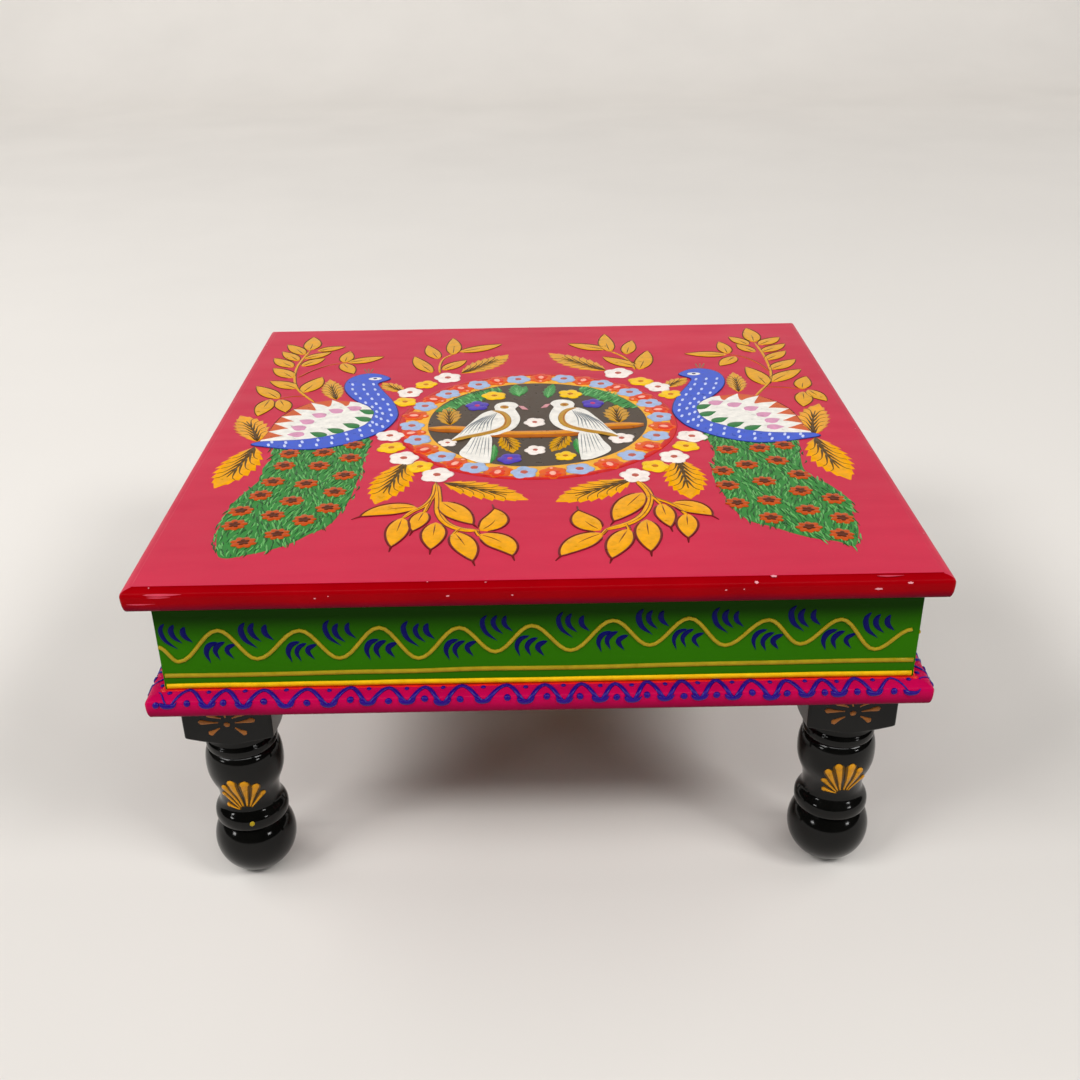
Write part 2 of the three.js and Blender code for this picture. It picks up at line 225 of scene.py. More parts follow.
def soft_line(points, steps=5, closed=False):
    """A smooth line through listed points."""
    knots = [Vector(point) for point in points]
    count = len(knots)
    spans = count if closed else count - 1
    line = []
    for span in range(spans):
        start, end = knots[span], knots[(span + 1) % count]
        before = knots[span - 1] if closed or span > 0 else 2 * start - end
        after = knots[(span + 2) % count] if closed or span + 2 < count else 2 * end - start
        for step in range(steps):
            t = step / steps
            bend = (2 * before - 5 * start + 4 * end - after) * t**2
            twist = (3 * start - before - 3 * end + after) * t**3
            line.append((2 * start + (end - before) * t + bend + twist) / 2)
    if not closed:
        line.append(knots[-1].copy())
    return line


def bezier(steps, *knots):
    """Points of the smooth curve that three or four knots draw, without its first."""
    degree = len(knots) - 1
    points = []
    for step in range(1, steps + 1):
        t = step / steps
        weights = [math.comb(degree, k) * (1 - t) ** (degree - k) * t**k for k in range(degree + 1)]
        points.append(tuple(sum(w * knot[axis] for w, knot in zip(weights, knots)) for axis in (0, 1)))
    return points


def left_of(along):
    """A direction turned a quarter to the left."""
    return Vector((-along.y, along.x))


def round_line(centre, radius, count, wobble=0.0, phase=0.0):
    """A circle drawn by hand: it may wobble a little."""
    line = []
    for index in range(count):
        angle = 2 * math.pi * index / count
        reach = radius + wobble * math.sin(3 * angle + phase) + wobble * 0.6 * math.sin(7 * angle + 2 * phase)
        line.append(Vector((centre[0] + reach * math.cos(angle), centre[1] + reach * math.sin(angle))))
    return line


def run_lengths(line):
    """How far along a line each of its points lies."""
    runs = [0.0]
    for before, after in zip(line, line[1:]):
        runs.append(runs[-1] + (after - before).length)
    return runs


def run_shares(line):
    """How far along a line each of its points lies, from 0 to 1."""
    runs = run_lengths(line)
    return [run / runs[-1] for run in runs]


def span_at(runs, value):
    """The span of a row of growing numbers that a value falls in, and its share of that span."""
    index = 0
    while index < len(runs) - 2 and runs[index + 1] < value:
        index += 1
    return index, (value - runs[index]) / max(runs[index + 1] - runs[index], 1e-6)


def point_at(line, share):
    """The point a share of the way along a line."""
    index, part = span_at(run_shares(line), share)
    return line[index].lerp(line[index + 1], part)


def anticlockwise(outline):
    """The outline turned so that it runs anticlockwise."""
    area = sum(a.x * b.y - b.x * a.y for a, b in zip(outline, outline[1:] + outline[:1]))
    return outline if area > 0 else outline[::-1]


# How far a sharp corner may run out when it is drawn in, as the least cosine
SHARPEST = 0.55


def drawn_in(outline, distance):
    """An anticlockwise outline drawn in by a distance."""
    count = len(outline)
    ring = []
    for index, point in enumerate(outline):
        back = (point - outline[index - 1]).normalized()
        ahead = (outline[(index + 1) % count] - point).normalized()
        inward = left_of(back + ahead)
        if inward.length < 0.3:
            inward = left_of(back)
        inward.normalize()
        facing = max(inward.dot(left_of(ahead)), SHARPEST)
        ring.append(point + inward * distance / facing)
    return ring


def inside(point, outline):
    """Whether a point lies inside an outline."""
    within = False
    for a, b in zip(outline, outline[1:] + outline[:1]):
        if (a.y > point.y) != (b.y > point.y):
            within ^= point.x < a.x + (point.y - a.y) * (b.x - a.x) / (b.y - a.y)
    return within


def swept_faces(stations, size, closed=False):
    """Faces of a section of size points swept along stations, closed into a ring or with its ends shut."""
    faces = []
    for index in range(stations if closed else stations - 1):
        near = index * size
        far = (index + 1) % stations * size
        for k in range(size):
            other = (k + 1) % size
            faces.append((near + k, far + k, far + other, near + other))
    if not closed:
        last = stations * size
        faces += [tuple(range(size)), tuple(range(last - 1, last - size - 1, -1))]
    return faces


def ringed_faces(rows, count):
    """Faces between rows of points that each run once round."""
    faces = []
    for low in range(0, (rows - 1) * count, count):
        high = low + count
        for index in range(count):
            other = (index + 1) % count
            faces.append((low + index, low + other, high + other, high + index))
    return faces


# How full a brush stroke is along its run


def comma(t):
    """Pointed at both ends and fullest before the middle."""
    return math.sin(math.pi * t**0.72) ** 0.85


def thread(t):
    """Even, with short tapered ends."""
    return min(1.0, (t / 0.08 + 0.12) ** 0.6, ((1 - t) / 0.08 + 0.12) ** 0.6)


def even(t):
    """Of one width, with blunt ends."""
    return 1.0


def drop(t):
    """Thin at the start and round at the end."""
    full = 0.24 + 0.76 * min(t / 0.82, 1) ** 1.5
    return full * (1.0 if t < 0.82 else math.sqrt(max(1 - ((t - 0.82) / 0.18) ** 2, 0.0)))


def blade(t):
    """A leaf: round near its foot and pointed at its tip."""
    return math.sin(math.pi * t**0.8) ** 0.8


# Sections of a stroke as (offset, height): shares of its half width and of its rise
ARCHED = ((-1.0, 0.0), (-0.7, 0.75), (0.0, 1.0), (0.7, 0.75), (1.0, 0.0))
LEVEL = ((-1.0, 0.0), (-0.97, 0.8), (-0.93, 1.0), (0.93, 1.0), (0.97, 0.8), (1.0, 0.0))
CREASED = ((-1.0, 0.0), (-0.88, 0.7), (-0.5, 1.0), (0.0, 0.72), (0.5, 1.0), (0.88, 0.7), (1.0, 0.0))

# How deep a stroke is rooted in the board, and the least width of a stroke
ROOT = 0.06
HAIRLINE = 0.1


class Paintwork:
    """Strokes of paint gathered into one mesh. A point is (across, along, lift) on its board."""

    def __init__(self, seed=1):
        self.points = []
        self.faces = []
        self.paints = []
        self.hand = random.Random(seed)

    def jitter(self, across, along):
        """A small shift, as the hand isn't steady."""
        return Vector((self.hand.uniform(-across, across), self.hand.uniform(-along, along)))

    def add(self, points, faces, paint):
        first = len(self.points)
        self.points.extend(points)
        self.faces.extend(tuple(first + index for index in face) for face in faces)
        self.paints.extend([paint] * len(faces))

    def sweep(self, stations, section, level, paint, closed=False):
        """Lays a cross-section along stations of (centre, across, half width, rise, lean)."""
        points = []
        for centre, across, half, rise, lean in stations:
            for offset, height in section:
                spot = centre + across * half * offset + lean * abs(offset) ** 1.5
                points.append((spot.x, spot.y, level + rise * height if height > 0 else level - ROOT))
        self.add(points, swept_faces(len(stations), len(section), closed), paint)

    def stroke(
        self, path, width, paint, level=0.0, rise=0.28, shape=thread, steps=4, closed=False, section=ARCHED
    ):
        """One pull of the brush along a path."""
        line = soft_line(path, steps, closed)
        shares = run_shares(line)
        count = len(line)
        stations = []
        for index, centre in enumerate(line):
            before = line[index - 1] if closed or index > 0 else centre
            after = line[(index + 1) % count] if closed or index + 1 < count else centre
            along = (after - before).normalized()
            full = 1.0 if closed else shape(shares[index])
            half = max(width * full, HAIRLINE) / 2
            height = rise * max(full, 0.2) ** 0.5
            stations.append((centre, left_of(along), half, height, Vector((0, 0))))
        self.sweep(stations, section, level, paint, closed)

    def patch(self, outline, paint, level=0.0, rise=0.14, bevel=0.3):
        """A ground of paint with a soft edge."""
        ring = anticlockwise([Vector(point) for point in outline])
        count = len(ring)
        points = [(p.x, p.y, level - ROOT) for p in ring]
        points += [(p.x, p.y, level + rise * 0.75) for p in drawn_in(ring, bevel * 0.3)]
        points += [(p.x, p.y, level + rise) for p in drawn_in(ring, bevel)]
        ends = [tuple(reversed(range(count))), tuple(range(2 * count, 3 * count))]
        self.add(points, ends + ringed_faces(3, count), paint)

    def bloom(
        self, centre, radius, paint, level, rise=0.55, petals=5, notch=0.3, turn=0.0, stretch=1.0, skew=0.0
    ):
        """A flower of round petals, or a plain dot where petals is 0. skew turns a stretched one."""
        count = petals * 6 if petals else 14
        sway = self.hand.uniform(0, 2 * math.pi)
        rings = ((1.0, 0.0), (0.9, 0.66), (0.66, 1.0), (0.36, 0.84), (0.16, 0.6))
        if not petals:
            rings = ((1.0, 0.0), (0.82, 0.62), (0.5, 0.92))
        tilt = Matrix.Rotation(skew, 2)
        points = []
        for share, height in rings:
            for index in range(count):
                angle = 2 * math.pi * index / count
                lobe = abs(math.cos(petals * (angle - turn) / 2)) ** 0.7 if petals else 1.0
                reach = radius * share * (1 - notch * (1 - lobe) * share if petals else 1.0)
                reach *= 1 + 0.05 * math.sin(2 * angle + sway)
                spot = tilt @ Vector((reach * math.cos(angle) * stretch, reach * math.sin(angle)))
                crease = 1 - 0.4 * (1 - lobe) if petals else 1.0
                lift = level + rise * height * crease if height > 0 else level - ROOT
                points.append((centre[0] + spot.x, centre[1] + spot.y, lift))
        last = (len(rings) - 1) * count
        points.append((centre[0], centre[1], level + rise * (0.5 if petals else 1.0)))
        faces = [tuple(reversed(range(count))), *ringed_faces(len(rings), count)]
        for index in range(count):
            faces.append((last + index, last + (index + 1) % count, len(points) - 1))
        self.add(points, faces, paint)

    def dot(self, centre, radius, paint, level=0.0, rise=0.3, stretch=1.0, skew=0.0):
        self.bloom(centre, radius, paint, level, rise, petals=0, stretch=stretch, skew=skew)

    def leaf(
        self, foot, tip, width, paint, line, level=0.0, rise=0.4, bend=0.06, teeth=0, outline=1.0, tail=0.0
    ):
        """A leaf from foot to tip. A toothed leaf has dark veins, and a plain one a thin line round it."""
        foot, tip = Vector(foot), Vector(tip)
        run = tip - foot
        elbow = (foot + tip) / 2 + left_of(run) * bend
        shares = [index / 14 for index in range(15)]
        if teeth:
            points_of_teeth = [(i + 0.93) / teeth for i in range(teeth)]
            shares = sorted([i / teeth for i in range(teeth + 1)] + points_of_teeth)
        spine = [foot * (1 - t) ** 2 + elbow * 2 * t * (1 - t) + tip * t * t for t in shares]
        stations = []
        edges = ([], [])
        for index, (t, centre) in enumerate(zip(shares, spine)):
            along = (spine[min(index + 1, len(spine) - 1)] - spine[max(index - 1, 0)]).normalized()
            across = left_of(along)
            phase = (t * teeth) % 1 if teeth else 1.0
            full = blade(t) * (0.74 + 0.26 * phase)
            half = max(width / 2 * full, HAIRLINE / 2)
            lean = along * half * (0.34 if teeth else 0.0)
            stations.append((centre, across, half, rise * max(full, 0.25) ** 0.5, lean))
            for edge, hand in zip(edges, (-1, 1)):
                edge.append(centre + across * half * hand * 1.03 + lean)
        self.sweep(stations, CREASED, level, paint)
        if teeth:
            self.veins(spine, stations, shares, width, line, level + rise * 0.72)
            return
        for edge in edges:
            flick = edge[-1] + (edge[-1] - spine[-3]).normalized() * tail
            path = edge[1:] + ([flick] if tail else [])
            self.stroke(path, outline, line, level + rise * 0.12, 0.36, thread, 1)
        self.stroke([spine[1], *spine[3:8]], 0.85, line, level + rise * 0.66, 0.2, comma, 1)

    def veins(self, spine, stations, shares, width, paint, level):
        """The dark strokes that fan out from the foot of a toothed leaf."""
        self.stroke(spine[: int(len(spine) * 0.8)], width * 0.13, paint, level, 0.16, drop_back, 1)
        for index in range(1, int(len(shares) * 0.62), 2):
            for hand in (-1, 1):
                centre, across, half, _, lean = stations[min(index + 2, len(stations) - 2)]
                reach = centre + across * half * hand * 0.7 + lean
                middle = (spine[index] + reach) / 2 + (spine[index] - spine[index - 1]) * 0.25
                self.stroke([spine[index - 1], middle, reach], width * 0.075, paint, level, 0.2, drop_back, 3)

    def made(self, name, place, colours):
        """The mesh object of all strokes, each point put in its place on the board."""
        mesh = bpy.data.meshes.new(name)
        spots = [place(*point) * MM for point in self.points]
        mesh.from_pydata(spots, [], self.faces)
        used = sorted(set(self.paints))
        for paint in used:
            mesh.materials.append(enamel(paint, getattr(colours, paint)))
        order = {paint: index for index, paint in enumerate(used)}
        mesh.polygons.foreach_set("material_index", [order[paint] for paint in self.paints])
        mesh.polygons.foreach_set("use_smooth", [len(face) < 5 for face in self.faces])
        mesh.update()
        return piece(name, mesh)


def drop_back(t):
    """Full at the start and thin at the end."""
    return drop(1 - t) if t < 1 else 0.1


# Places on the table's faces. The whole drawing of the top sits this far forward of its own middle.
DRAWN_FORWARD = 2.8


def on_top(u, v, lift):
    return Vector((u, v - DRAWN_FORWARD, TOP_FACE + lift))


def turned_to(side):
    """The turn that brings the front to a side."""
    return Matrix.Rotation(SIDES.index(side) * math.pi / 2, 3, "Z")


def on_apron(side):
    turn = turned_to(side)
    return lambda u, v, lift: turn @ Vector((u, -APRON_HALF - lift, v))


def on_edge(side, half, under, section):
    """A moulded edge: u runs along the side, and v down its section from the upper face."""
    turn = turned_to(side)
    line = [Vector((half - inset, under + height)) for inset, height in reversed(section)]
    runs = run_lengths(line)

    def place(u, v, lift):
        index, share = span_at(runs, v)
        start, end = line[index], line[index + 1]
        spot = start.lerp(end, share) + left_of((end - start).normalized()) * lift
        return turn @ Vector((u, -spot.x, spot.y))

    return place


def leg_axis(corner):
    """The foot of a leg's axis."""
    return turned_to(SIDES[CORNERS.index(corner)]) @ Vector((-LEG_AXIS, -LEG_AXIS, 0))


def on_leg(corner, facing, outline):
    """A leg's turned face: u runs round it from the middle of the facing side, and v up from the floor."""
    axis, turn = leg_axis(corner), turned_to(facing)
    heights = [height for _, height in outline]

    def place(u, v, lift):
        index, share = span_at(heights, v)
        (low_radius, low), (high_radius, high) = outline[index : index + 2]
        radius = low_radius + (high_radius - low_radius) * share
        tilt = math.atan2(low_radius - high_radius, high - low)
        angle = u / radius
        reach = radius + lift * math.cos(tilt)
        spot = Vector((math.sin(angle) * reach, -math.cos(angle) * reach, v + lift * math.sin(tilt)))
        return axis + turn @ spot

    return place


def on_block(corner, facing):
    axis, turn = leg_axis(corner), turned_to(facing)
    return lambda u, v, lift: axis + turn @ Vector((u, -BLOCK_HALF - lift, v))


# Finishes


def plug(tree, socket, value):
    """Links a socket to another node's output, or sets it to a value."""
    if isinstance(value, bpy.types.NodeSocket):
        tree.links.new(value, socket)
    else:
        socket.default_value = value


def add_node(tree, kind, **inputs):
    """A shader node. Inputs are named with _ for a space, and are values or other nodes' outputs."""
    made = tree.nodes.new("ShaderNode" + kind)
    for name, value in inputs.items():
        plug(tree, made.inputs[name.replace("_", " ")], value)
    return made


def blank_material(name):
    """A material, its emptied node tree, and the place in metres that its patterns follow."""
    material = bpy.data.materials.get(name) or bpy.data.materials.new(name)
    material.use_nodes = True
    tree = material.node_tree
    tree.nodes.clear()
    return material, tree, tree.nodes.new("ShaderNodeTexCoord").outputs["Object"]


def finished(material, **inputs):
    """The material with its surface, whose inputs are named as in add_node."""
    tree = material.node_tree
    surface = add_node(tree, "BsdfPrincipled", **inputs)
    out = tree.nodes.new("ShaderNodeOutputMaterial")
    tree.links.new(surface.outputs[0], out.inputs[0])
    return material


def noise(tree, place, scale, detail, **inputs):
    """Random clouds, smaller for a larger scale and finer for more detail."""
    return add_node(tree, "TexNoise", Vector=place, Scale=scale, Detail=detail, **inputs).outputs["Fac"]


def drawn_out(tree, place, shares):
    """A place whose patterns are longer where a share is small."""
    return add_node(tree, "Mapping", Vector=place, Scale=shares).outputs[0]


def uneven(tree, height, strength, depth):
    """A surface made uneven by a pattern of height, with its depth in mm."""
    return add_node(tree, "Bump", Height=height, Strength=strength, Distance=depth * MM).outputs[0]


def mixed(tree, factor, first, second):
    """A mix of two colours."""
    mix = tree.nodes.new("ShaderNodeMix")
    mix.data_type = "RGBA"
    for index, value in ((0, factor), (6, first), (7, second)):
        plug(tree, mix.inputs[index], value)
    return mix.outputs[2]


# Where most of a noise's values lie
SPREAD = (0.3, 0.7)


def ranged(tree, value, span, bottom, top):
    """A value within a span carried to bottom to top."""
    low, high = span
    spread = {"From_Min": low, "From_Max": high, "To_Min": bottom, "To_Max": top}
    return add_node(tree, "MapRange", Value=value, **spread).outputs[0]


def washed(tree, tone, value, span, most, other):
    """A tone that turns to another while a value passes through a span, up to the share most."""
    return mixed(tree, ranged(tree, value, span, 0, most), tone, other)


def shade(colour, factor=1):
    return (*[min(channel * factor, 1) for channel in colour], 1)


# How strongly the finishes mirror the lamps
ORNAMENT_SHEEN = 0.2
DULL_SHEEN = 0.08
EDGE_SHEEN = 0.03
LACQUER_SHEEN = 0.22

# How far the line between an edge's two colours wavers, in mm
EDGE_DRIFT = 3


def enamel(name, colour):
    """Hand-laid enamel: thicker and thinner paint in pools, a soft gloss and faint brush marks."""
    material, tree, place = blank_material("enamel_" + name)
    pools = noise(tree, place, 170, 3, Roughness=0.6)
    marks = noise(tree, place, 800, 2)
    return finished(
        material,
        Base_Color=washed(tree, shade(colour, 0.84), pools, SPREAD, 1, shade(colour, 1.08)),
        Roughness=ranged(tree, pools, SPREAD, 0.26, 0.42),
        Specular_IOR_Level=DULL_SHEEN if name == "comma_blue" else ORNAMENT_SHEEN,
        Normal=uneven(tree, marks, 0.06, 0.2),
    )


# Painted shade under a ledge: how far under it the paint starts to darken and has darkened in full, in mm
OVERHANG_SHADE_BAND = (30, 11)


def ground_enamel(name, colour, streaks=(0.25, 1, 1), gloss=(0.26, 0.38), sheen=0.5, ledge=0):
    """Enamel brushed over a whole board: faintly cloudy, with long soft brush marks and specks of dust.

    It darkens towards the height ledge, as painted shade under the top's overhang.
    """
    material, tree, place = blank_material(name)
    clouds = noise(tree, place, 6, 3, Roughness=0.55)
    combed = drawn_out(tree, place, streaks)
    marks = noise(tree, combed, 300, 2)
    grain = noise(tree, combed, 60, 3)
    dust = noise(tree, place, 700, 0)
    tone = washed(tree, shade(colour, 0.93), clouds, (0.32, 0.68), 1, shade(colour, 1.05))
    tone = washed(tree, tone, grain, (0.5, 0.8), 0.16, shade(colour, 0.7))
    tone = washed(tree, tone, dust, (0.8, 0.86), 0.3, shade(colour, 1.5))
    # Painted shade under the top's overhang: the paint darkens towards the ledge
    if ledge:
        climb = add_node(tree, "SeparateXYZ", Vector=place).outputs["Z"]
        band = [(ledge - under) * MM for under in OVERHANG_SHADE_BAND]
        tone = washed(tree, tone, climb, band, 0.8, shade(colour, 0.15))
    height = mixed(tree, 0.5, marks, grain)
    return finished(
        material,
        Base_Color=tone,
        Roughness=ranged(tree, grain, SPREAD, *gloss),
        Specular_IOR_Level=sheen,
        Normal=uneven(tree, height, 0.05, 0.4),
    )


def two_tone_enamel(name, upper, lower, foot, head):
    """Edge enamel whose colour passes from lower to upper between two heights in mm, at a wavering line."""
    material, tree, place = blank_material(name)
    height = add_node(tree, "SeparateXYZ", Vector=place).outputs["Z"]
    clouds = noise(tree, place, 26, 4)
    drift = add_node(tree, "Math")
    drift.operation = "MULTIPLY_ADD"
    for socket, value in zip(drift.inputs, (clouds, EDGE_DRIFT * MM, height)):
        plug(tree, socket, value)
    tone = washed(tree, shade(lower), drift.outputs[0], (foot * MM, head * MM), 1, shade(upper))
    tone = washed(tree, tone, clouds, (0.7, 0.35), 0.3, shade(upper, 0.5))
    marks = noise(tree, place, 260, 3)
    return finished(
        material,
        Base_Color=tone,
        Roughness=ranged(tree, clouds, SPREAD, 0.16, 0.3),
        Specular_IOR_Level=EDGE_SHEEN,
        Normal=uneven(tree, marks, 0.14, 0.5),
    )


def lacquer(colour):
    """Deep black lacquer on turned wood: fine turning rings and a little orange peel."""
    material, tree, place = blank_material("leg_lacquer_black")
    turning = noise(tree, drawn_out(tree, place, (0.02, 0.02, 1)), 700, 2)
    peel = noise(tree, place, 240, 2)
    wear = noise(tree, place, 45, 4)
    height = mixed(tree, 0.55, turning, peel)
    return finished(
        material,
        Base_Color=washed(tree, shade(colour, 0.8), wear, (0.4, 0.7), 1, shade(colour, 1.5)),
        Roughness=ranged(tree, wear, SPREAD, 0.08, 0.14),
        Specular_IOR_Level=LACQUER_SHEEN,
        Normal=uneven(tree, height, 0.08, 0.3),
    )


# Colours of the wood and the steel, as the shader takes them
WOOD_DARK = (0.2, 0.105, 0.045, 1)
WOOD_PALE = (0.4, 0.23, 0.1, 1)
WOOD_PORES = (0.12, 0.06, 0.025, 1)
STEEL_DULL = (0.24, 0.23, 0.2, 1)
STEEL_BRIGHT = (0.5, 0.49, 0.46, 1)

WOOD_ALONG_X = ("wood_along_x", (0.08, 1, 1))
WOOD_ALONG_Y = ("wood_along_y", (1, 0.08, 1))
WOOD_UPRIGHT = ("wood_upright", (1, 1, 0.08))


def bare_wood(name, grain):
    """Planed mango wood, its pattern drawn out along the grain."""
    material, tree, place = blank_material(name)
    grained = drawn_out(tree, place, grain)
    bands = noise(tree, grained, 46, 5, Distortion=0.6)
    pores = noise(tree, grained, 520, 2)
    tone = washed(tree, WOOD_DARK, bands, SPREAD, 1, WOOD_PALE)
    return finished(
        material,
        Base_Color=washed(tree, tone, pores, (0.6, 0.75), 0.5, WOOD_PORES),
        Roughness=ranged(tree, bands, SPREAD, 0.62, 0.78),
        Normal=uneven(tree, pores, 0.25, 0.4),
    )


def screw_steel():
    """Zinc-plated steel, dulled in patches."""
    material, tree, place = blank_material("screw_steel_zinc")
    dull = noise(tree, place, 400, 3)
    return finished(
        material,
        Base_Color=washed(tree, STEEL_DULL, dull, SPREAD, 1, STEEL_BRIGHT),
        Roughness=ranged(tree, dull, SPREAD, 0.28, 0.5),
        Metallic=1.0,
    )


# Pieces


def new_object(name, data):
    """An object that takes the place of an earlier one of its name."""
    old = bpy.data.objects.get(name)
    if old:
        bpy.data.objects.remove(old)
    made = bpy.data.objects.new(name, data)
    bpy.context.scene.collection.objects.link(made)
    return made


def piece(name, mesh):
    """A piece of the table, which rides on the frame."""
    made = new_object(name, mesh)
    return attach(made, "root")


# A broad face, in square mm, and how nearly it has to stand square to the table's axes
BROAD = 20
SQUARE = 0.99999


def smooth_rounds(mesh, crease):
    """Shades a piece smooth, apart from broad square faces and edges sharper than crease degrees."""
    mesh.set_sharp_from_angle(angle=math.radians(crease))
    for face in mesh.polygons:
        square = max(abs(value) for value in face.normal) > SQUARE
        face.use_smooth = not (square and face.area > BROAD * MM**2)


def solid_piece(name, points, faces, materials, indices, crease=32):
    """A piece from points in mm. Edges sharper than crease degrees stay sharp."""
    mesh = bpy.data.meshes.new(name)
    mesh.from_pydata([Vector(point) * MM for point in points], [], faces)
    for material in materials:
        mesh.materials.append(material)
    mesh.polygons.foreach_set("material_index", indices)
    mesh.update()
    smooth_rounds(mesh, crease)
    return piece(name, mesh)


# Points of a moulded edge's lower and upper round, and of half a soft corner
UNDER_STEPS = 9
ROUND_STEPS = 12
CORNER_STEPS = 5

# The least radius of a soft corner where the section draws in, in mm
LEAST_CORNER = 0.4


def nose_section(thickness, moulding, nose_drop, undercut, quirk):
    """The moulded edge from its lower face up: how far in from the edge, and how high."""
    shoulder = thickness - quirk
    section = [(undercut, 0)]
    section += bezier(UNDER_STEPS, section[-1], (0, 0), (0, thickness - nose_drop))
    section += bezier(ROUND_STEPS, section[-1], (0, shoulder), (moulding, shoulder))
    if quirk:
        section += [(moulding + quirk * 0.25, thickness - quirk * 0.3), (moulding + quirk, thickness)]
    return section


def side_run(half, softness, inset, stops):
    """Points along the front from mitre to mitre, drawn in by inset, with half of each soft corner."""
    half -= inset
    corner = max(softness - inset, LEAST_CORNER)
    centre = half - corner
    run = []
    for step in range(CORNER_STEPS + 1):
        angle = math.radians(225 + 45 * step / CORNER_STEPS)
        run.append((-centre + corner * math.cos(angle), -centre + corner * math.sin(angle)))
    run += [(stop, -half) for stop in stops]
    run += [(-x, y) for x, y in reversed(run[: CORNER_STEPS + 1])]
    return run


def top_section(sizes, quirk):
    """The top's moulded edge, with a step of the height quirk beside its upper face."""
    thickness = TOP_FACE - TOP_UNDER
    return nose_section(thickness, sizes.top_moulding, sizes.top_nose_drop, sizes.top_undercut, quirk)


# How far the painted top reaches in under itself past the apron's face, and half the width of a seam
TOP_LAP = 2
SEAM_HALF = 0.5

# How far up the seams' grooves run, and where they end as a share of their length
GROOVE_DEPTH = 2.2
GROOVE_SHARE = 0.96

# Where the top's edge passes from crimson to red, in mm under its face
TOP_CRIMSON = (12, 6.5)

PINK, EDGE, WOOD = range(3)


def paint_top(sizes, colours):
    """The painted top: three planks under one coat, with their seams still open underneath."""
    section = [(TOP_HALF - APRON_HALF + TOP_LAP, 0)] + top_section(sizes, sizes.top_quirk)
    stops = [hand * PLANK_SEAM + shift for hand in (-1, 1) for shift in (-SEAM_HALF, 0, SEAM_HALF)]
    points = []
    for inset, height in section:
        run = side_run(TOP_HALF, sizes.corner_softness, inset, stops)
        for side in SIDES:
            turn = turned_to(side)
            points += [turn @ Vector((x, y, TOP_UNDER + height)) for x, y in run[:-1]]
    per_side = len(run) - 1
    count = len(SIDES) * per_side
    rows = len(section)
    faces = ringed_faces(rows, count)
    paints = []
    for row in range(rows - 1):
        # On the sides and back the edge's round takes the pink of the ground, a painted reflection of the
        # pale backdrop on the red edge, while the front's round stays red; the quirk's step stays red on
        # every side, a thin line of painted shade
        side_sheen_paint = PINK if rows - ROUND_STEPS <= row < rows - 3 or row == rows - 2 else EDGE
        paints += [PINK if row == rows - 2 else EDGE] * per_side + [side_sheen_paint] * (count - per_side)
    faces.append(tuple((rows - 1) * count + index for index in range(count)))
    paints.append(PINK)
    under = top_underside(points, count, per_side, len(stops))
    faces += under
    paints += [WOOD] * len(under)
    ground = ground_enamel("top_ground_enamel", colours.top_pink, gloss=(0.42, 0.54), sheen=0.7)
    heights = [TOP_FACE - down for down in TOP_CRIMSON]
    edge = two_tone_enamel("top_edge_enamel", colours.nose_red, colours.nose_crimson_and_shade, *heights)
    made = solid_piece("painted_top", points, faces, [ground, edge, bare_wood(*WOOD_ALONG_X)], paints)
    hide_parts(*[f"top_plank_{name}" for name in PLANKS])


def top_underside(points, count, per_side, stops):
    """The faces under the top: one for each plank, and a groove along each of the two seams."""
    arc = CORNER_STEPS + 1
    right = [per_side + arc + index for index in range(stops)]
    left = [3 * per_side + arc + stops - 1 - index for index in range(stops)]
    groove = []
    for centre in (1, 4):
        for end in (left[centre], right[centre]):
            spot = Vector(points[end])
            groove.append(len(points))
            points.append(Vector((spot.x * GROOVE_SHARE, spot.y, spot.z + GROOVE_DEPTH)))
    under = [
        tuple(reversed([*range(left[0], count), *range(0, right[0] + 1)])),
        (left[2], left[3], right[3], right[2])[::-1],
        tuple(reversed([*range(right[5], left[5] + 1)])),
    ]
    for low, (near, far) in zip((0, 3), (groove[:2], groove[2:])):
        mid, high = low + 1, low + 2
        under += [(left[low], near, far, right[low]), (left[high], right[high], far, near)]
        under += [(left[low], left[mid], near), (left[mid], left[high], near)]
        under += [(right[mid], right[low], far), (right[high], right[mid], far)]
    return under


def base_section(sizes):
    """The base rail's moulded edge."""
    thickness = BASE_TOP - BASE_UNDER
    return nose_section(thickness, sizes.base_moulding, sizes.base_nose_drop, sizes.base_undercut, 0)


# Points along a rail's straight stretch, and where its edge passes over its foot from painted shade, a darker
# copy of its crimson, to crimson
RAIL_STOPS = (-80, 0, 80)
BASE_SHADED_FOOT = (1, 9)


def paint_base(sizes, colours):
    """The four mitred rails of the base frame, each with its rounded nose."""
    depth = BASE_HALF - BASE_INNER
    section = [(depth, 0), *base_section(sizes), (depth, BASE_TOP - BASE_UNDER)]
    size = len(section)
    # The edge's foot takes a darker copy of the crimson: painted shade under the nose's round
    heights = [BASE_UNDER + over for over in BASE_SHADED_FOOT]
    edge = two_tone_enamel("base_edge_enamel", colours.base_crimson, colours.nose_crimson_and_shade, *heights)
    wood = bare_wood(*WOOD_ALONG_X)
    for side in SIDES:
        turn = turned_to(side)
        points = []
        for inset, height in section:
            run = side_run(BASE_HALF, sizes.corner_softness, inset, RAIL_STOPS)
            points.append([turn @ Vector((x, y, BASE_UNDER + height)) for x, y in run])
        stations = len(points[0])
        flat = [points[k][index] for index in range(stations) for k in range(size)]
        paints = ([0] * (size - 1) + [1]) * (stations - 1) + [1, 1]
        made = solid_piece(
            f"base_moulding_{side}", flat, swept_faces(stations, size), [edge, wood], paints
        )
        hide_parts(f"base_rail_{side}")


# What passes for touching and a margin past the arris, in mm, and the angle at which edges stay sharp
TOUCH = 0.01
MARGIN = 0.2
APRON_CREASE = 40


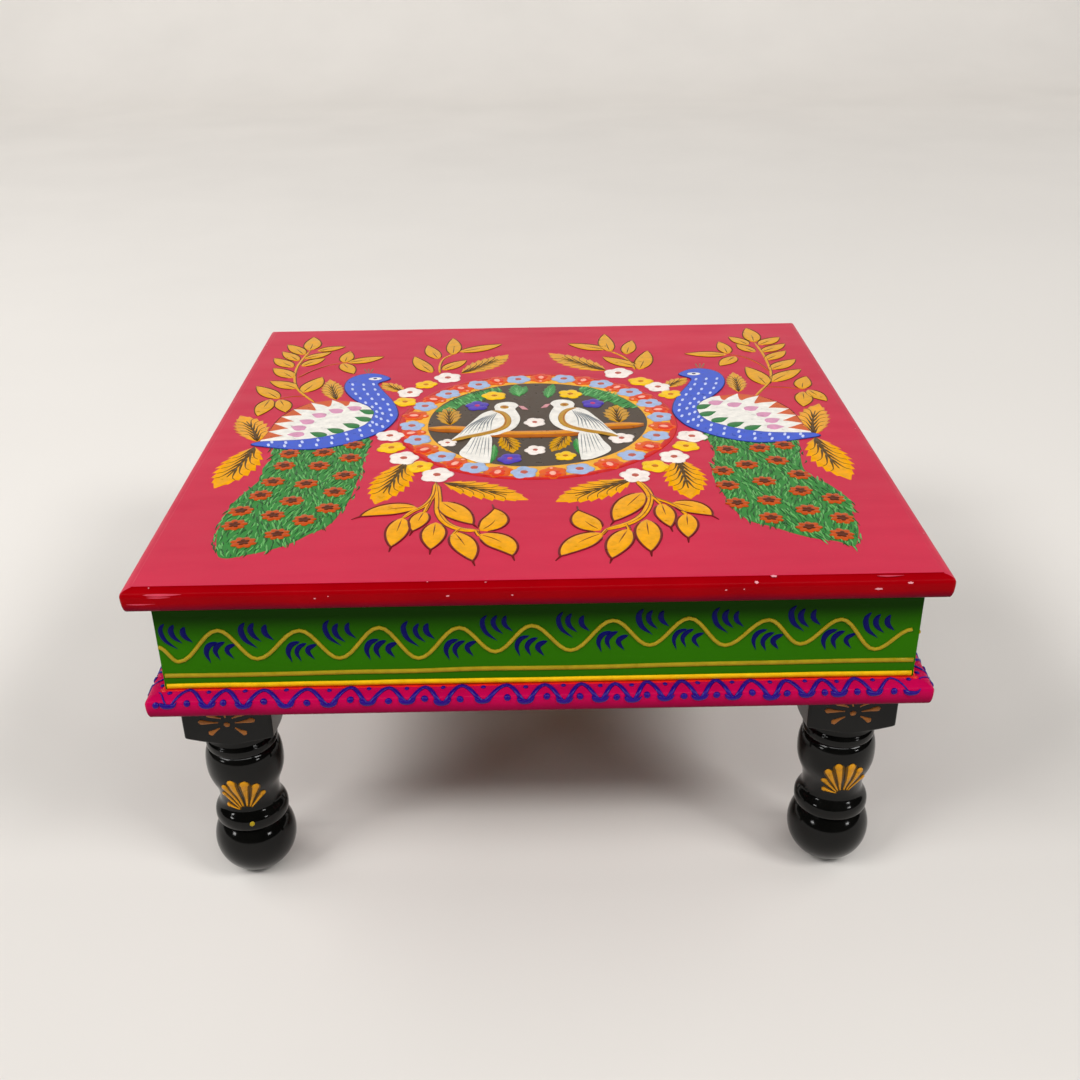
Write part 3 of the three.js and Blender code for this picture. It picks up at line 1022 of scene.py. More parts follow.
def paint_apron(sizes, colours):
    """The four apron boards, their outer arrises worn soft: green outside and bare inside."""
    # The green takes painted shade in a band under the top's overhang
    green = ground_enamel(
        "apron_ground_enamel",
        colours.apron_green,
        streaks=(0.2, 0.2, 1),
        gloss=(0.2, 0.34),
        sheen=0.04,
        ledge=APRON_TOP,
    )
    for side in SIDES:
        grain = WOOD_ALONG_X if side in ("front", "back") else WOOD_ALONG_Y
        shape = bmesh.new()
        shape.from_mesh(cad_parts[f"apron_{side}"].data)
        bmesh.ops.dissolve_limit(shape, angle_limit=math.radians(1), verts=shape.verts, edges=shape.edges)
        corner = (APRON_HALF - TOUCH) * MM
        arrises = [
            edge
            for edge in shape.edges
            if all(abs(v.co.x) > corner and abs(v.co.y) > corner for v in edge.verts)
        ]
        bmesh.ops.bevel(shape, geom=arrises, offset=sizes.arris * MM, segments=4, profile=0.5, affect="EDGES")
        mesh = bpy.data.meshes.new(f"apron_board_{side}")
        shape.to_mesh(mesh)
        shape.free()
        mesh.materials.clear()
        mesh.materials.append(green)
        mesh.materials.append(bare_wood(*grain))
        outer = (APRON_HALF - sizes.arris - MARGIN) * MM
        for face in mesh.polygons:
            facing = face.normal.dot(Vector((face.center.x, face.center.y, 0)))
            reach = max(abs(face.center.x), abs(face.center.y))
            face.material_index = 0 if facing > 0 and reach > outer and abs(face.normal.z) < 0.5 else 1
        smooth_rounds(mesh, APRON_CREASE)
        made = piece(f"apron_board_{side}", mesh)
        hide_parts(f"apron_{side}")


# Where the collar and the vase are fullest, and the ring's middle, as shares of their lengths
COLLAR_SHARE = 0.28
VASE_SHARE = 0.66
RING_SHARE = 0.4

# How far in and up the lips of the collar and the ring start, in mm
COLLAR_LIP = (1.2, 0.7)
RING_LIP = (0.5, 0.5)


def leg_outline(sizes):
    """The turned outline as (radius, height), from the floor to the foot of the block."""
    ball = sizes.ball_radius
    centre = math.sqrt(ball**2 - sizes.foot_flat**2)
    foot_angle = -math.acos(sizes.foot_flat / ball)
    groove_angle = math.acos((ball - sizes.groove_inset) / ball)
    outline = []
    ball_steps = 24
    for step in range(ball_steps + 1):
        angle = foot_angle + (groove_angle - foot_angle) * step / ball_steps
        outline.append((ball * math.cos(angle), centre + ball * math.sin(angle)))
    collar, waist, vase = sizes.collar_radius, sizes.waist_radius, sizes.vase_radius
    ring, cove = sizes.ring_radius, sizes.cove_radius
    collar_foot = outline[-1][1]
    collar_full = collar_foot + sizes.collar_length * COLLAR_SHARE
    waist_height = collar_foot + sizes.collar_length
    vase_full = waist_height + sizes.vase_length * VASE_SHARE
    crease = waist_height + sizes.vase_length
    ring_top = crease + sizes.ring_length
    cove_height = ring_top + sizes.cove_length
    shoulder = cove_height + sizes.shoulder_length
    outline.append((collar - COLLAR_LIP[0], collar_foot + COLLAR_LIP[1]))
    outline += bezier(6, outline[-1], (collar, outline[-1][1]), (collar, collar_full))
    bend = (collar_full + waist_height) / 2
    outline += bezier(12, outline[-1], (collar, bend), (waist, bend), (waist, waist_height))
    bend = (waist_height + vase_full) / 2
    outline += bezier(16, outline[-1], (waist, bend), (vase, bend), (vase, vase_full))
    outline += bezier(12, outline[-1], (vase, crease - 2.4), (sizes.crease_radius, crease))
    outline.append((ring - RING_LIP[0], crease + RING_LIP[1]))
    outline += bezier(3, outline[-1], (ring, crease + 1), (ring, crease + sizes.ring_length * RING_SHARE))
    outline += bezier(3, outline[-1], (ring, ring_top - 1), (ring - 0.6, ring_top))
    outline += bezier(6, outline[-1], (cove, ring_top + 1.4), (cove, cove_height))
    outline += bezier(8, outline[-1], (cove, shoulder - 0.4), (BLOCK_HALF, shoulder))
    return outline


def turning_angles():
    """Angles once round the leg, closer together at the block's corners."""
    quarter = [0, 5, 10, 15, 20, 25, 30, 34, 38, 41, 43, 44, 45, 46, 47, 49, 52, 56, 60, 65, 70, 75, 80, 85]
    return [math.radians(90 * turn + angle) for turn in range(4) for angle in quarter]


def block_reach(angle, soft):
    """How far the square block reaches from its axis at an angle, with softened corners."""
    folded = abs((math.degrees(angle) + 45) % 90 - 45)
    across, along = math.cos(math.radians(folded)), math.sin(math.radians(folded))
    centre = BLOCK_HALF - soft
    if BLOCK_HALF * along / across <= centre:
        return BLOCK_HALF / across
    middle = centre * (across + along)
    return middle + math.sqrt(max(middle**2 - 2 * centre**2 + soft**2, 0))


# Softness of the block's corners and upper edge, in mm, and the angle at which edges stay sharp
BLOCK_CORNER = 1.2
BLOCK_ARRIS = 0.6
LEG_CREASE = 38


def turn_legs(sizes, colours):
    """The four turned legs, whose round shoulder runs up into a square block with a tenon on top."""
    black = lacquer(colours.lacquer_black)
    wood = bare_wood(*WOOD_UPRIGHT)
    outline = leg_outline(sizes)
    block_top = BASE_UNDER - sizes.seat_gap
    shoulder = outline[-1][1]
    slope = sizes.shoulder_rise / (BLOCK_HALF * (math.sqrt(2) - 1))
    angles = turning_angles()
    columns = []
    for angle in angles:
        reach = block_reach(angle, BLOCK_CORNER)
        rise = reach - BLOCK_HALF
        soft = min(sizes.block_edge, rise * 0.45 + 0.05)
        column = list(outline)
        for share in (1 / 3, 2 / 3, 1):
            radius = BLOCK_HALF + (rise - soft) * share
            column.append((radius, shoulder + slope * (radius - BLOCK_HALF)))
        turn_height = shoulder + slope * rise
        column += bezier(4, column[-1], (reach, turn_height), (reach, turn_height + soft))
        column += [(reach, block_top - BLOCK_ARRIS), (reach - BLOCK_ARRIS, block_top)]
        column += [(sizes.tenon_radius, block_top), (sizes.tenon_radius, TENON_TOP)]
        columns.append(column)
    count = len(angles)
    rows = len(columns[0])
    for corner in CORNERS:
        axis = leg_axis(corner)
        points = []
        for row in range(rows):
            for angle, column in zip(angles, columns):
                radius, height = column[row]
                points.append(axis + Vector((radius * math.cos(angle), radius * math.sin(angle), height)))
        ends = [tuple(reversed(range(count))), tuple((rows - 1) * count + index for index in range(count))]
        faces = ends + ringed_faces(rows, count)
        paints = [0, 1] + [0] * (rows - 3) * count + [1] * 2 * count
        made = solid_piece(f"turned_leg_{corner}", points, faces, [black, wood], paints, LEG_CREASE)
        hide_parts(f"leg_{corner}")


def finish_hidden_wood():
    """Blocks, cleats and batten inside the box keep the frame's shape and get their grain."""
    grains = {"corner_block": WOOD_UPRIGHT, "cleat": WOOD_ALONG_Y, "top_batten": WOOD_ALONG_Y}
    for name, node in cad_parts.items():
        for start, grain in grains.items():
            if name.startswith(start) and "screw" not in name:
                node.data.materials.clear()
                node.data.materials.append(bare_wood(*grain))


def finish_screws():
    """All screws keep the frame's shape and get their steel."""
    steel = screw_steel()
    for name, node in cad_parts.items():
        if "screw" in name:
            node.data.materials.clear()
            node.data.materials.append(steel)


# Ornament of the top. Places are in mm from the middle of the top, to the right and to the back.

RING_CENTRE = (1.6, 8)
DISC_RADIUS = 77.5
RING_RADIUS = 97.5

# Blue flowers of the ring, in degrees round it
RING_FLOWER_ANGLES = (99, 76, 56, 38, 21, 3, -20, -45, -72, -96, -118, -137, -160, -177, 158, 139, 120)

# The wreath's flowers, white and yellow by turns, as centre and radius
WREATH_LEFT = (
    ((-67, 101), 11.5), ((-83, 86.5), 9), ((-94, 70), 10.5), ((-96, 50.5), 9.5), ((-101, -14), 10.5),
    ((-98, -35), 10), ((-88, -53), 11), ((-76, -67.5), 9.5), ((-64, -81), 11.5),
)
WREATH_RIGHT = (
    ((66, 105), 12), ((82, 85.5), 10), ((94, 73), 10.5), ((102, 57), 9.5), ((108, -24), 11),
    ((102, -41), 9.5), ((92, -58.5), 11), ((78, -73), 10), ((64, -87), 11),
)

FLOWER_PAINTS = {
    "white": ("petal_white", "heart_rose"),
    "yellow": ("petal_yellow", "heart_amber"),
    "blue": ("petal_blue", "heart_rose"),
    "violet": ("petal_violet", "heart_magenta"),
}


def add_flower(work, centre, radius, kind, level, sizes):
    """A flower of five petals with its heart."""
    petals, heart = FLOWER_PAINTS[kind]
    turn = work.hand.uniform(0, 1.2)
    work.bloom(centre, radius, petals, level, sizes.petal_rise, notch=0.26, turn=turn)
    heart_share = 0.32 if kind == "blue" else 0.25
    work.dot(centre, radius * heart_share, heart, level + sizes.petal_rise * 0.42)


def paint_ring(sizes, colours):
    """The medallion's dark disc and the ring of flowers round it."""
    work = Paintwork(seed=11)
    middle = (DISC_RADIUS + RING_RADIUS) / 2
    band = RING_RADIUS - DISC_RADIUS
    work.patch(round_line(RING_CENTRE, DISC_RADIUS + 1, 120, 0.3), "disc_brown", 0, 0.12)
    base = round_line(RING_CENTRE, middle, 144, 0.35, 1.0)
    work.stroke(base, band, "ring_yellow", 0, 0.16, closed=True, steps=1, section=LEVEL)
    outer = round_line(RING_CENTRE, RING_RADIUS - 1.2, 144, 0.5, 2.0)
    work.stroke(outer, 5.4, "ring_red", 0.04, 0.3, closed=True, steps=1)
    angles = sorted(RING_FLOWER_ANGLES)
    for index, angle in enumerate(angles):
        following = angles[(index + 1) % len(angles)] + (360 if index + 1 == len(angles) else 0)
        between = math.radians((angle + following) / 2)
        room = math.radians(following - angle) * middle / 2
        spot = ring_spot(between, middle + 1.5)
        width = min(room * 0.78, 10)
        work.bloom(spot, width, "ring_orange", 0.16, 0.3, petals=6, notch=0.2, turn=between)
        inner = ring_spot(between, middle + 3.5)
        work.bloom(inner, width * 0.62, "ring_vermilion", 0.4, 0.2, turn=between)
        work.dot(ring_spot(between, middle + 2.5), 2.3, "heart_pink", 0.5, 0.35, stretch=1.5, skew=between)
        work.dot(ring_spot(between, middle - 5.5), 1.3, "heart_pink", 0.36, 0.25)
    for angle in angles:
        spot = ring_spot(math.radians(angle), middle + work.hand.uniform(0, 1.6))
        add_flower(work, spot, 9.6, "blue", 0.3, sizes)
    work.made("medallion_ring", on_top, colours)


def ring_spot(angle, radius):
    return (RING_CENTRE[0] + radius * math.cos(angle), RING_CENTRE[1] + radius * math.sin(angle))


def paint_wreath(sizes, colours):
    """White and yellow flowers in two arcs beside the ring."""
    work = Paintwork(seed=12)
    for arc in (WREATH_LEFT, WREATH_RIGHT):
        for index, (centre, radius) in enumerate(arc):
            add_flower(work, centre, radius, ("white", "yellow")[index % 2], 0.3, sizes)
    work.made("wreath_flowers", on_top, colours)


# The pair of doves, drawn for the left one
DOVE_BODY = (
    (-12, 40), (-15, 44.5), (-21, 46), (-27, 43), (-29.5, 37), (-29, 30), (-34, 24), (-42, 10), (-48, -6),
    (-57, -25), (-48, -22), (-38, -17), (-28, -17), (-20, -12), (-14, -4), (-11, 6), (-10.5, 16),
    (-12.5, 26), (-14, 32), (-12, 37),
)
DOVE_WING = (
    (-31, 29), (-38, 23), (-43, 12), (-48, 0), (-52, -12), (-58, -26), (-49, -20), (-38, -15.5),
    (-28, -9), (-22.5, -1), (-20.5, 9), (-22.5, 19), (-26.5, 26),
)
DOVE_BAND = ((-30, 29), (-23, 23), (-19.5, 12), (-20.5, 0), (-26, -8), (-36, -14.5), (-48, -20), (-57, -26))
DOVE_TAIL = (
    (-42, -18), (-31, -17), (-29.5, -38), (-30, -60), (-31, -64), (-39, -62), (-51, -49), (-47, -33),
)
DOVE_BEAK = ((-12, 39), (-8, 38), (-4.5, 31), (-9, 32))
DOVE_EYE = (-22, 35.5)


def add_dove(work, flip, climb):
    """A white dove that sits on the branch, with its wing folded and its tail hanging."""

    def put(points):
        return [Vector((flip * x, y + climb)) for x, y in points]

    work.patch(soft_line(put(DOVE_TAIL), 4, True), "wing_white", 0.5, 0.22)
    work.patch(soft_line(put(DOVE_BODY), 4, True), "wing_white", 0.52, 0.3, 0.5)
    work.patch(soft_line(put(DOVE_WING), 4, True), "wing_white", 0.8, 0.24, 0.5)
    work.stroke(put(DOVE_BAND), 5.4, "band_ochre", 0.9, 0.32, thread)
    inner = [(x - 1.1, y - 0.8) for x, y in DOVE_BAND]
    work.stroke(put(inner), 0.9, "branch_brown", 1.14, 0.16, comma)
    quills = 8
    for index in range(quills):
        share = index / (quills - 1)
        top = (-27 - 9 * share, 25 - 8 * share)
        foot = (-31 - 22 * share, -9 - 9 * share)
        middle = ((top[0] + foot[0]) / 2 - 1.5, (top[1] + foot[1]) / 2 + 1)
        work.stroke(put([top, middle, foot]), 1.2, "feather_grey", 1.02, 0.14, comma)
        if index < quills - 1:
            start, turn = (middle[0] - 1, middle[1] + 3), (middle[0] - 3.2, middle[1] - 4)
            quill = [start, turn, (foot[0] - 1.5, foot[1] + 5)]
            work.stroke(put(quill), 0.8, "feather_grey", 1.02, 0.14, comma)
    tail_lines = 6
    for index in range(tail_lines):
        share = index / (tail_lines - 1)
        top = (-32 - 9 * share, -19)
        foot = (-31.5 - 15 * share, -56 + 7 * share)
        work.stroke(put([top, ((top[0] + foot[0]) / 2, -36), foot]), 0.75, "feather_grey", 0.7, 0.14, comma)
    work.patch(put(DOVE_BEAK), "beak_pink", 0.14, 0.3, 0.3)
    work.dot(put([DOVE_EYE])[0], 3.6, "band_ochre", 0.8, 0.22)
    work.dot(put([DOVE_EYE])[0], 1.6, "branch_brown", 0.98, 0.2)


BRANCH = ((-75, -3), (-52, -5), (-26, -14), (0, -15.5), (26, -14), (50, -4), (77, -2))
FOLIAGE_LEFT = (
    (-72, 30), (-66, 44), (-56, 58), (-44, 68), (-30, 76), (-24, 70), (-32, 62), (-40, 52), (-52, 44),
    (-58, 34),
)
FOLIAGE_RIGHT = (
    (75, 32), (70, 44), (60, 59), (50, 69), (38, 77), (34, 70), (38, 60), (46, 52), (56, 44), (62, 34),
)
FOLIAGE_STROKES = 46
DISC_LEAVES = (
    ((-11, 58), (-14, 84), 14), ((-11, 60), (-6, 80), 10), ((10, 54), (15, 84), 11),
    ((-28, -32), (-30, -64), 7), ((28, -24), (30, -52), 9),
)
DISC_TOOTHED_LEAVES = (
    ((-60, 4), (-62, 40), 20), ((60, 3), (60, 38), 21), ((-22, -16), (-15, -47), 17),
    ((22, -16), (11, -46), 16),
)
MEDALLION_FLOWERS = {
    "yellow": (((-30, 60), 9.5), ((27, 61), 9.5), ((20, -54), 7.8)),
    "violet": (((-42, 40), 9.5), ((43, 41), 9), ((-17, -57), 8.8)),
    "white": (((0, 6), 8.5), ((0, -43.5), 8), ((59.5, -25.5), 9.4), ((-60, -28.5), 6.8)),
}


def paint_medallion(sizes, colours):
    """Two doves on a branch between foliage and flowers."""
    work = Paintwork(seed=13)
    ground = 0.12
    for outline in (FOLIAGE_LEFT, FOLIAGE_RIGHT):
        line = soft_line(outline, 4, True)
        work.patch(line, "foliage_green", ground, 0.16)
        for _ in range(FOLIAGE_STROKES):
            spot = work.hand.choice(line).lerp(work.hand.choice(line), work.hand.uniform(0.2, 0.8))
            lean = Vector((spot.x * 0.04, 3.4 + work.hand.uniform(-1, 1)))
            paint = work.hand.choice(("foliage_light", "tail_dark", "foliage_light"))
            path = [spot - lean, spot + Vector((0.8, 0)), spot + lean]
            work.stroke(path, 1.5, paint, ground + 0.14, 0.2, comma, 3)
    for foot, tip, width in DISC_LEAVES:
        work.leaf(foot, tip, width, "foliage_green", "foliage_light", ground, 0.3, 0.05, teeth=5)
    for foot, tip, width in DISC_TOOTHED_LEAVES:
        work.leaf(foot, tip, width, "leaf_deep", "vein_brown", ground, 0.36, 0.05, teeth=6)
    work.stroke(BRANCH, 12, "branch_brown", ground + 0.1, 0.4, steps=6, section=LEVEL)
    upper = [(x, y + 2) for x, y in BRANCH]
    work.stroke(upper, 7, "branch_orange", ground + 0.4, 0.3, steps=6)
    for kind, flowers in MEDALLION_FLOWERS.items():
        for centre, radius in flowers:
            add_flower(work, centre, radius, kind, 0.34, sizes)
    add_dove(work, flip=1, climb=0)
    add_dove(work, flip=-1, climb=3)
    work.made("medallion_doves", on_top, colours)


# The left peacock, and the outline of each tail
PEACOCK_BODY = (
    (-112, 100), (-117, 108), (-126, 113), (-136, 111), (-143, 103), (-145.5, 91), (-144, 78), (-139, 65),
    (-131, 52), (-122, 42), (-117.5, 31), (-117, 20), (-120.5, 7), (-128, -1.5), (-142, -11.5), (-159, -18),
    (-177, -20), (-190, -21), (-195, -26), (-182, -31), (-165, -35.3), (-146, -35), (-126, -25), (-109, -8.5),
    (-102, 6), (-99, 22), (-101, 38), (-106, 54), (-113, 70), (-118, 82), (-120, 91),
)
WING_TIPS = (
    (-137, 53), (-151, 57), (-166, 52), (-177, 39), (-183.5, 25), (-186, 12), (-187.5, -3), (-190, -18),
)
WING_VALLEYS = (
    (-139.5, 44), (-152, 43), (-160.5, 36), (-169, 27), (-172.5, 15.5), (-174.5, 2.5), (-175.5, -11),
)
WING_FOOT = (
    (-190, -22), (-177, -22), (-160, -20), (-144, -15), (-130, -4), (-120, 6), (-115, 20), (-116, 34),
    (-126, 49),
)
WING_LILACS = ((-133, 38.5), (-146, 34), (-157, 26), (-164, 14), (-168, 2.5), (-167.5, -10))
WING_GREENS = ((-122.5, 31), (-124, 17), (-131, 5), (-141, -4), (-152, -10.5))
TAIL_LEFT = (
    (-177, -25), (-178, -50), (-181, -65), (-179, -80), (-183, -95), (-187, -107), (-190, -120), (-191, -140),
    (-190, -160), (-187, -175), (-183, -188), (-176, -191), (-168, -188), (-158, -184), (-148, -178),
    (-140, -171), (-133, -162), (-126, -155), (-121, -145), (-118, -130), (-115, -115), (-114, -95),
    (-113, -75), (-113, -50), (-112, -25), (-118, -12), (-140, -20),
)
TAIL_RIGHT = (
    (118, -14), (117, -30), (119, -45), (117, -65), (113, -85), (113, -100), (116, -120), (118, -135),
    (122, -148), (128, -157), (138, -163), (150, -173), (160, -179), (172, -183), (181, -190), (186, -180),
    (190, -165), (191, -146), (194, -130), (190, -115), (185, -103), (178, -93), (175, -80), (177, -60),
    (179, -40), (178, -26), (150, -22),
)
TAIL_EYES_LEFT = (
    (-166, -42), (-143, -41), (-124, -29), (-166, -62), (-143, -63), (-124, -51), (-169, -87), (-147, -91),
    (-124, -79), (-173, -107), (-152, -116), (-127, -104), (-181, -129), (-160, -136), (-128, -127),
    (-181, -148), (-140, -143), (-153, -161), (-171, -171),
)
TAIL_EYES_RIGHT = (
    (129, -48), (151, -46), (168, -42), (138, -73), (159, -67), (121, -82), (145, -99), (169, -90),
    (121, -104), (165, -114), (143, -127), (123, -130), (183, -126), (164, -141), (140, -151), (182, -153),
    (160, -164), (177, -174),
)

# Spacing of the tails' barbs, the share of dark ones with no light one beside them, and their width
BARB_ACROSS = 4.2
BARB_ALONG = 5
BARE_SHARE = 0.2
BARB_WIDTH = 1.2


def barb_spots(line, work):
    """Places of barbs inside an outline, in staggered rows with a little unevenness."""
    low = Vector((min(p.x for p in line), min(p.y for p in line)))
    high = Vector((max(p.x for p in line), max(p.y for p in line)))
    spots = []
    for row in range(int((high.y - low.y) / BARB_ALONG) + 1):
        for column in range(int((high.x - low.x) / BARB_ACROSS) + 1):
            shift = BARB_ACROSS / 2 * (row % 2)
            spot = Vector((low.x + column * BARB_ACROSS + shift, low.y + row * BARB_ALONG))
            spot += work.jitter(1.3, 2)
            if inside(spot, line):
                spots.append(spot)
    return spots


def paint_tail(name, outline, eyes, colours, seed):
    """A tail of short barbs that run down it, with eyes set over them."""
    work = Paintwork(seed)
    hand = work.hand
    line = anticlockwise(soft_line(outline, 4, True))
    work.patch(drawn_in(line, 1.2), "tail_green", 0, 0.12)
    for spot in barb_spots(line, work):
        for paint, level in (("tail_dark", 0.1), ("tail_light", 0.14)):
            if paint == "tail_light" and hand.random() < BARE_SHARE:
                continue
            start = spot + work.jitter(1.6, 2)
            swing = math.sin(start.x * 0.16 + start.y * 0.07) * 0.3 + hand.uniform(-0.22, 0.22)
            heading = Vector((math.sin(swing), -math.cos(swing)))
            bow = left_of(heading) * hand.uniform(-0.9, 0.9)
            half = heading * hand.uniform(5.5, 9.5) / 2
            path = [start - half, start + bow, start + half]
            work.stroke(path, BARB_WIDTH, paint, level + hand.uniform(0, 0.06), 0.26, comma, 3)
    for eye in eyes:
        turn = hand.uniform(0, 1.2)
        work.bloom(eye, 7.8, "eye_orange", 0.34, 0.34, petals=8, notch=0.34, turn=turn)
        work.bloom(eye, 4.2, "eye_heart", 0.58, 0.2, petals=5, notch=0.5, turn=turn)
    work.made(name, on_top, colours)


def add_peacock(work, flip, climb):
    """A peacock: blue body with rows of dashes, and a white wing with toothed feathers."""

    def put(points):
        return [Vector((flip * x - min(flip, 0), y + climb)) for x, y in points]

    ground = 0.2
    work.patch(put([*WING_TIPS, *WING_FOOT]), "wing_orange", ground, 0.16)
    feathers = []
    for tip, valley, following in zip(WING_TIPS, WING_VALLEYS, WING_TIPS[1:]):
        near = Vector(valley).lerp(Vector(tip), 0.35) + Vector((1.2, -1.2))
        far = Vector(valley).lerp(Vector(following), 0.35) + Vector((0.6, 0.6))
        feathers += soft_line([tip, near, valley, far, following], 3)[:-1]
    work.patch(put([*feathers, WING_TIPS[-1], *WING_FOOT]), "wing_white", ground + 0.1, 0.22, 0.2)
    for x, y in WING_LILACS:
        along = Vector((-0.86, 0.5)) if y > 0 else Vector((-1, 0.1))
        start, end = Vector((x, y)) - along * 6.5, Vector((x, y)) + along * 6
        work.stroke(put([start, (x, y + 1), end]), 11, "wing_lilac", ground + 0.3, 0.16, comma)
    for x, y in WING_GREENS:
        start, end = Vector((x + 6.5, y - 4)), Vector((x - 6, y + 4.5))
        work.stroke(put([start, (x, y + 1.5), end]), 9.6, "wing_green", ground + 0.32, 0.2, comma)
    work.stroke(put([*WING_TIPS[2:], (-191.5, -21)]), 0.9, "leaf_line", ground, 0.3, comma)
    body = soft_line(put(PEACOCK_BODY), 5, True)
    work.patch(body, "body_blue", ground + 0.16, 0.34, 0.6)
    work.stroke(body, 1.1, "body_line", ground + 0.06, 0.36, closed=True, steps=1)
    add_dashes(work, put, ground + 0.48)
    eye = put([(-123.5, 100.5)])[0]
    work.dot(eye, 3.6, "wing_white", ground + 0.48, 0.2, stretch=1.5)
    work.dot(eye, 1.7, "body_line", ground + 0.64, 0.2)
    for lean in (-3, 0.5, 4):
        plume = [(-130, 112), (-131 + lean * 0.6, 119), (-132 + lean, 126)]
        work.stroke(put(plume), 1.3, "crest_olive", 0.05, 0.25, drop)
    work.leaf(*put([(-99, 73), (-117, 93)]), 17, "leaf_amber", "vein_brown", 0.02, 0.3, 0.05, teeth=5)


# Rows of dashes from the cheek to the end of the body, how many of them are on the neck, and a dash's slant
DASH_ROWS = 17
NECK_ROWS = 9
DASH_LEAN = (-0.7, 2.4)


def add_dashes(work, put, level):
    """Pale dashes: three abreast on the neck, and two below it."""
    outer = soft_line(PEACOCK_BODY[30:17:-1], 5)
    inner = soft_line(PEACOCK_BODY[4:18], 5)
    lean = Vector(DASH_LEAN)
    for index in range(DASH_ROWS):
        lanes, stagger = ((0.2, 0.5, 0.8), 0.33) if index < NECK_ROWS else ((0.3, 0.72), 0.1)
        for row, lane in enumerate(lanes):
            share = (index + 0.5 + stagger * row) / (DASH_ROWS + 0.5)
            spot = point_at(outer, share).lerp(point_at(inner, share), lane) + work.jitter(0.5, 0.6)
            work.stroke(put([spot - lean, spot, spot + lean]), 2.1, "dash_blue", level, 0.24, thread, 3)


def paint_peacocks(colours):
    paint_tail("peacock_tail_left", TAIL_LEFT, TAIL_EYES_LEFT, colours, 21)
    paint_tail("peacock_tail_right", TAIL_RIGHT, TAIL_EYES_RIGHT, colours, 22)
    for name, flip, climb, seed in (("peacock_left", 1, 0, 23), ("peacock_right", -1, -1, 24)):
        work = Paintwork(seed)
        add_peacock(work, flip, climb)
        work.made(name, on_top, colours)


# Leaves: foot, tip and width. A negative bend turns the leaf the other way.
BACK_LEAVES_LEFT = (
    ((-186, 173), (-188, 208), 14.5), ((-189, 162), (-207, 189), 12), ((-191, 147), (-208, 171), 11),
    ((-193, 132), (-212, 155), 12.5), ((-189, 107), (-208.5, 130.5), 13.5),
    ((-182, 83), (-205.5, 100.5), 13.5),
    ((-176, 74), (-166, 108), 15.5), ((-186, 134), (-170, 153), 12), ((-187, 152), (-167, 168), 11),
    ((-179, 171), (-157, 181), 11.5), ((-152.5, 141), (-151.5, 169), 11.5), ((-150, 141), (-122, 154), 13.5),
    ((-154, 139.5), (-142, 114), 12), ((-192, 62), (-214, 90), 13), ((-198, 61), (-201, 27.5), 13.5),
    ((-191, 60), (-182, 34), 12.5),
)
BACK_LEAVES_RIGHT = (
    ((184, 175), (183.5, 213), 14.5), ((178, 168), (165, 190), 12), ((181, 150), (169, 171), 11),
    ((187, 168), (207.5, 187), 13), ((186, 150), (209, 170), 12), ((186, 130), (206, 152), 12),
    ((186, 108), (210, 131), 13.5), ((182, 80), (210, 107.5), 14.5), ((177, 73), (167.5, 115), 15.5),
    ((158, 147), (155, 178), 11.5), ((157, 145), (123, 148.5), 13), ((163, 140), (147.5, 118), 12.5),
    ((202, 64), (210.5, 91), 13), ((201, 58), (195.5, 28), 13), ((206, 62), (215, 38), 12),
)
CENTRE_LEAVES = (
    ((-66, 156), (-68, 199), 12.5), ((-77, 146), (-88, 181), 12), ((-80, 114), (-97, 153), 12.5),
    ((-61, 163), (-26, 181), 14), ((-72, 119), (-54, 142), 12.5), ((63, 157), (61, 203), 13),
    ((76, 150), (83, 185), 12), ((83, 113), (93.5, 158), 14), ((60, 163), (29, 179), 14),
    ((82, 119), (56, 144.5), 14),
)
FRONT_LEAVES_LEFT = (
    ((-73, -129), (-107, -139.5), 15, -0.22), ((-81, -142), (-84.4, -179.5), 13.5, 0),
    ((-68.5, -134), (-73.6, -160), 11.5, 0), ((-60.5, -149), (-61.2, -183.5), 14.5, 0),
    ((-59, -121), (-38, -152.5), 16, 0.02), ((-33.5, -161), (-25.8, -131.5), 16, -0.32),
    ((-49, -162), (-36.5, -198), 14.5, 0.06), ((-34, -166), (-14.2, -192.7), 16.5, 0.27),
)
FRONT_LEAVES_RIGHT = (
    ((83, -128.5), (105.5, -146.5), 16, 0.2), ((90.5, -143), (87.7, -174.5), 12.5, 0),
    ((76.5, -128.5), (79, -160.5), 12, 0), ((65.5, -150), (64.6, -190.5), 15, 0),
    ((66.5, -112.5), (46, -151.5), 17, -0.04), ((37.5, -163), (25.4, -136), 16.5, 0.2),
    ((54, -162), (41.8, -198), 14.5, -0.05), ((38.5, -167), (13, -194.2), 16, -0.15),
)
TOOTHED_LEAVES = (
    ((-192, -20), (-214, 29), 26, -0.08), ((-192, -29), (-205, -95), 30, 0.05),
    ((192, -25), (208, 33), 26, 0.08), ((192, -29), (200, -99), 30, -0.05),
    ((-59, -93), (-5, -120), 26, 0.02), ((-86, -60), (-99.6, -122.5), 29, 0),
    ((61, -93), (12, -123.5), 29, 0), ((94, -62), (95.4, -122.5), 30, 0.03),
)
BACK_TOOTHED_LEAVES = (
    ((-57, 111), (-20.5, 154), 26, -0.04), ((57, 112), (12.5, 156), 27, 0.04),
    ((-148, 58), (-159, 102), 19, 0.02), ((153.5, 60), (155.5, 103), 17, -0.02),
)

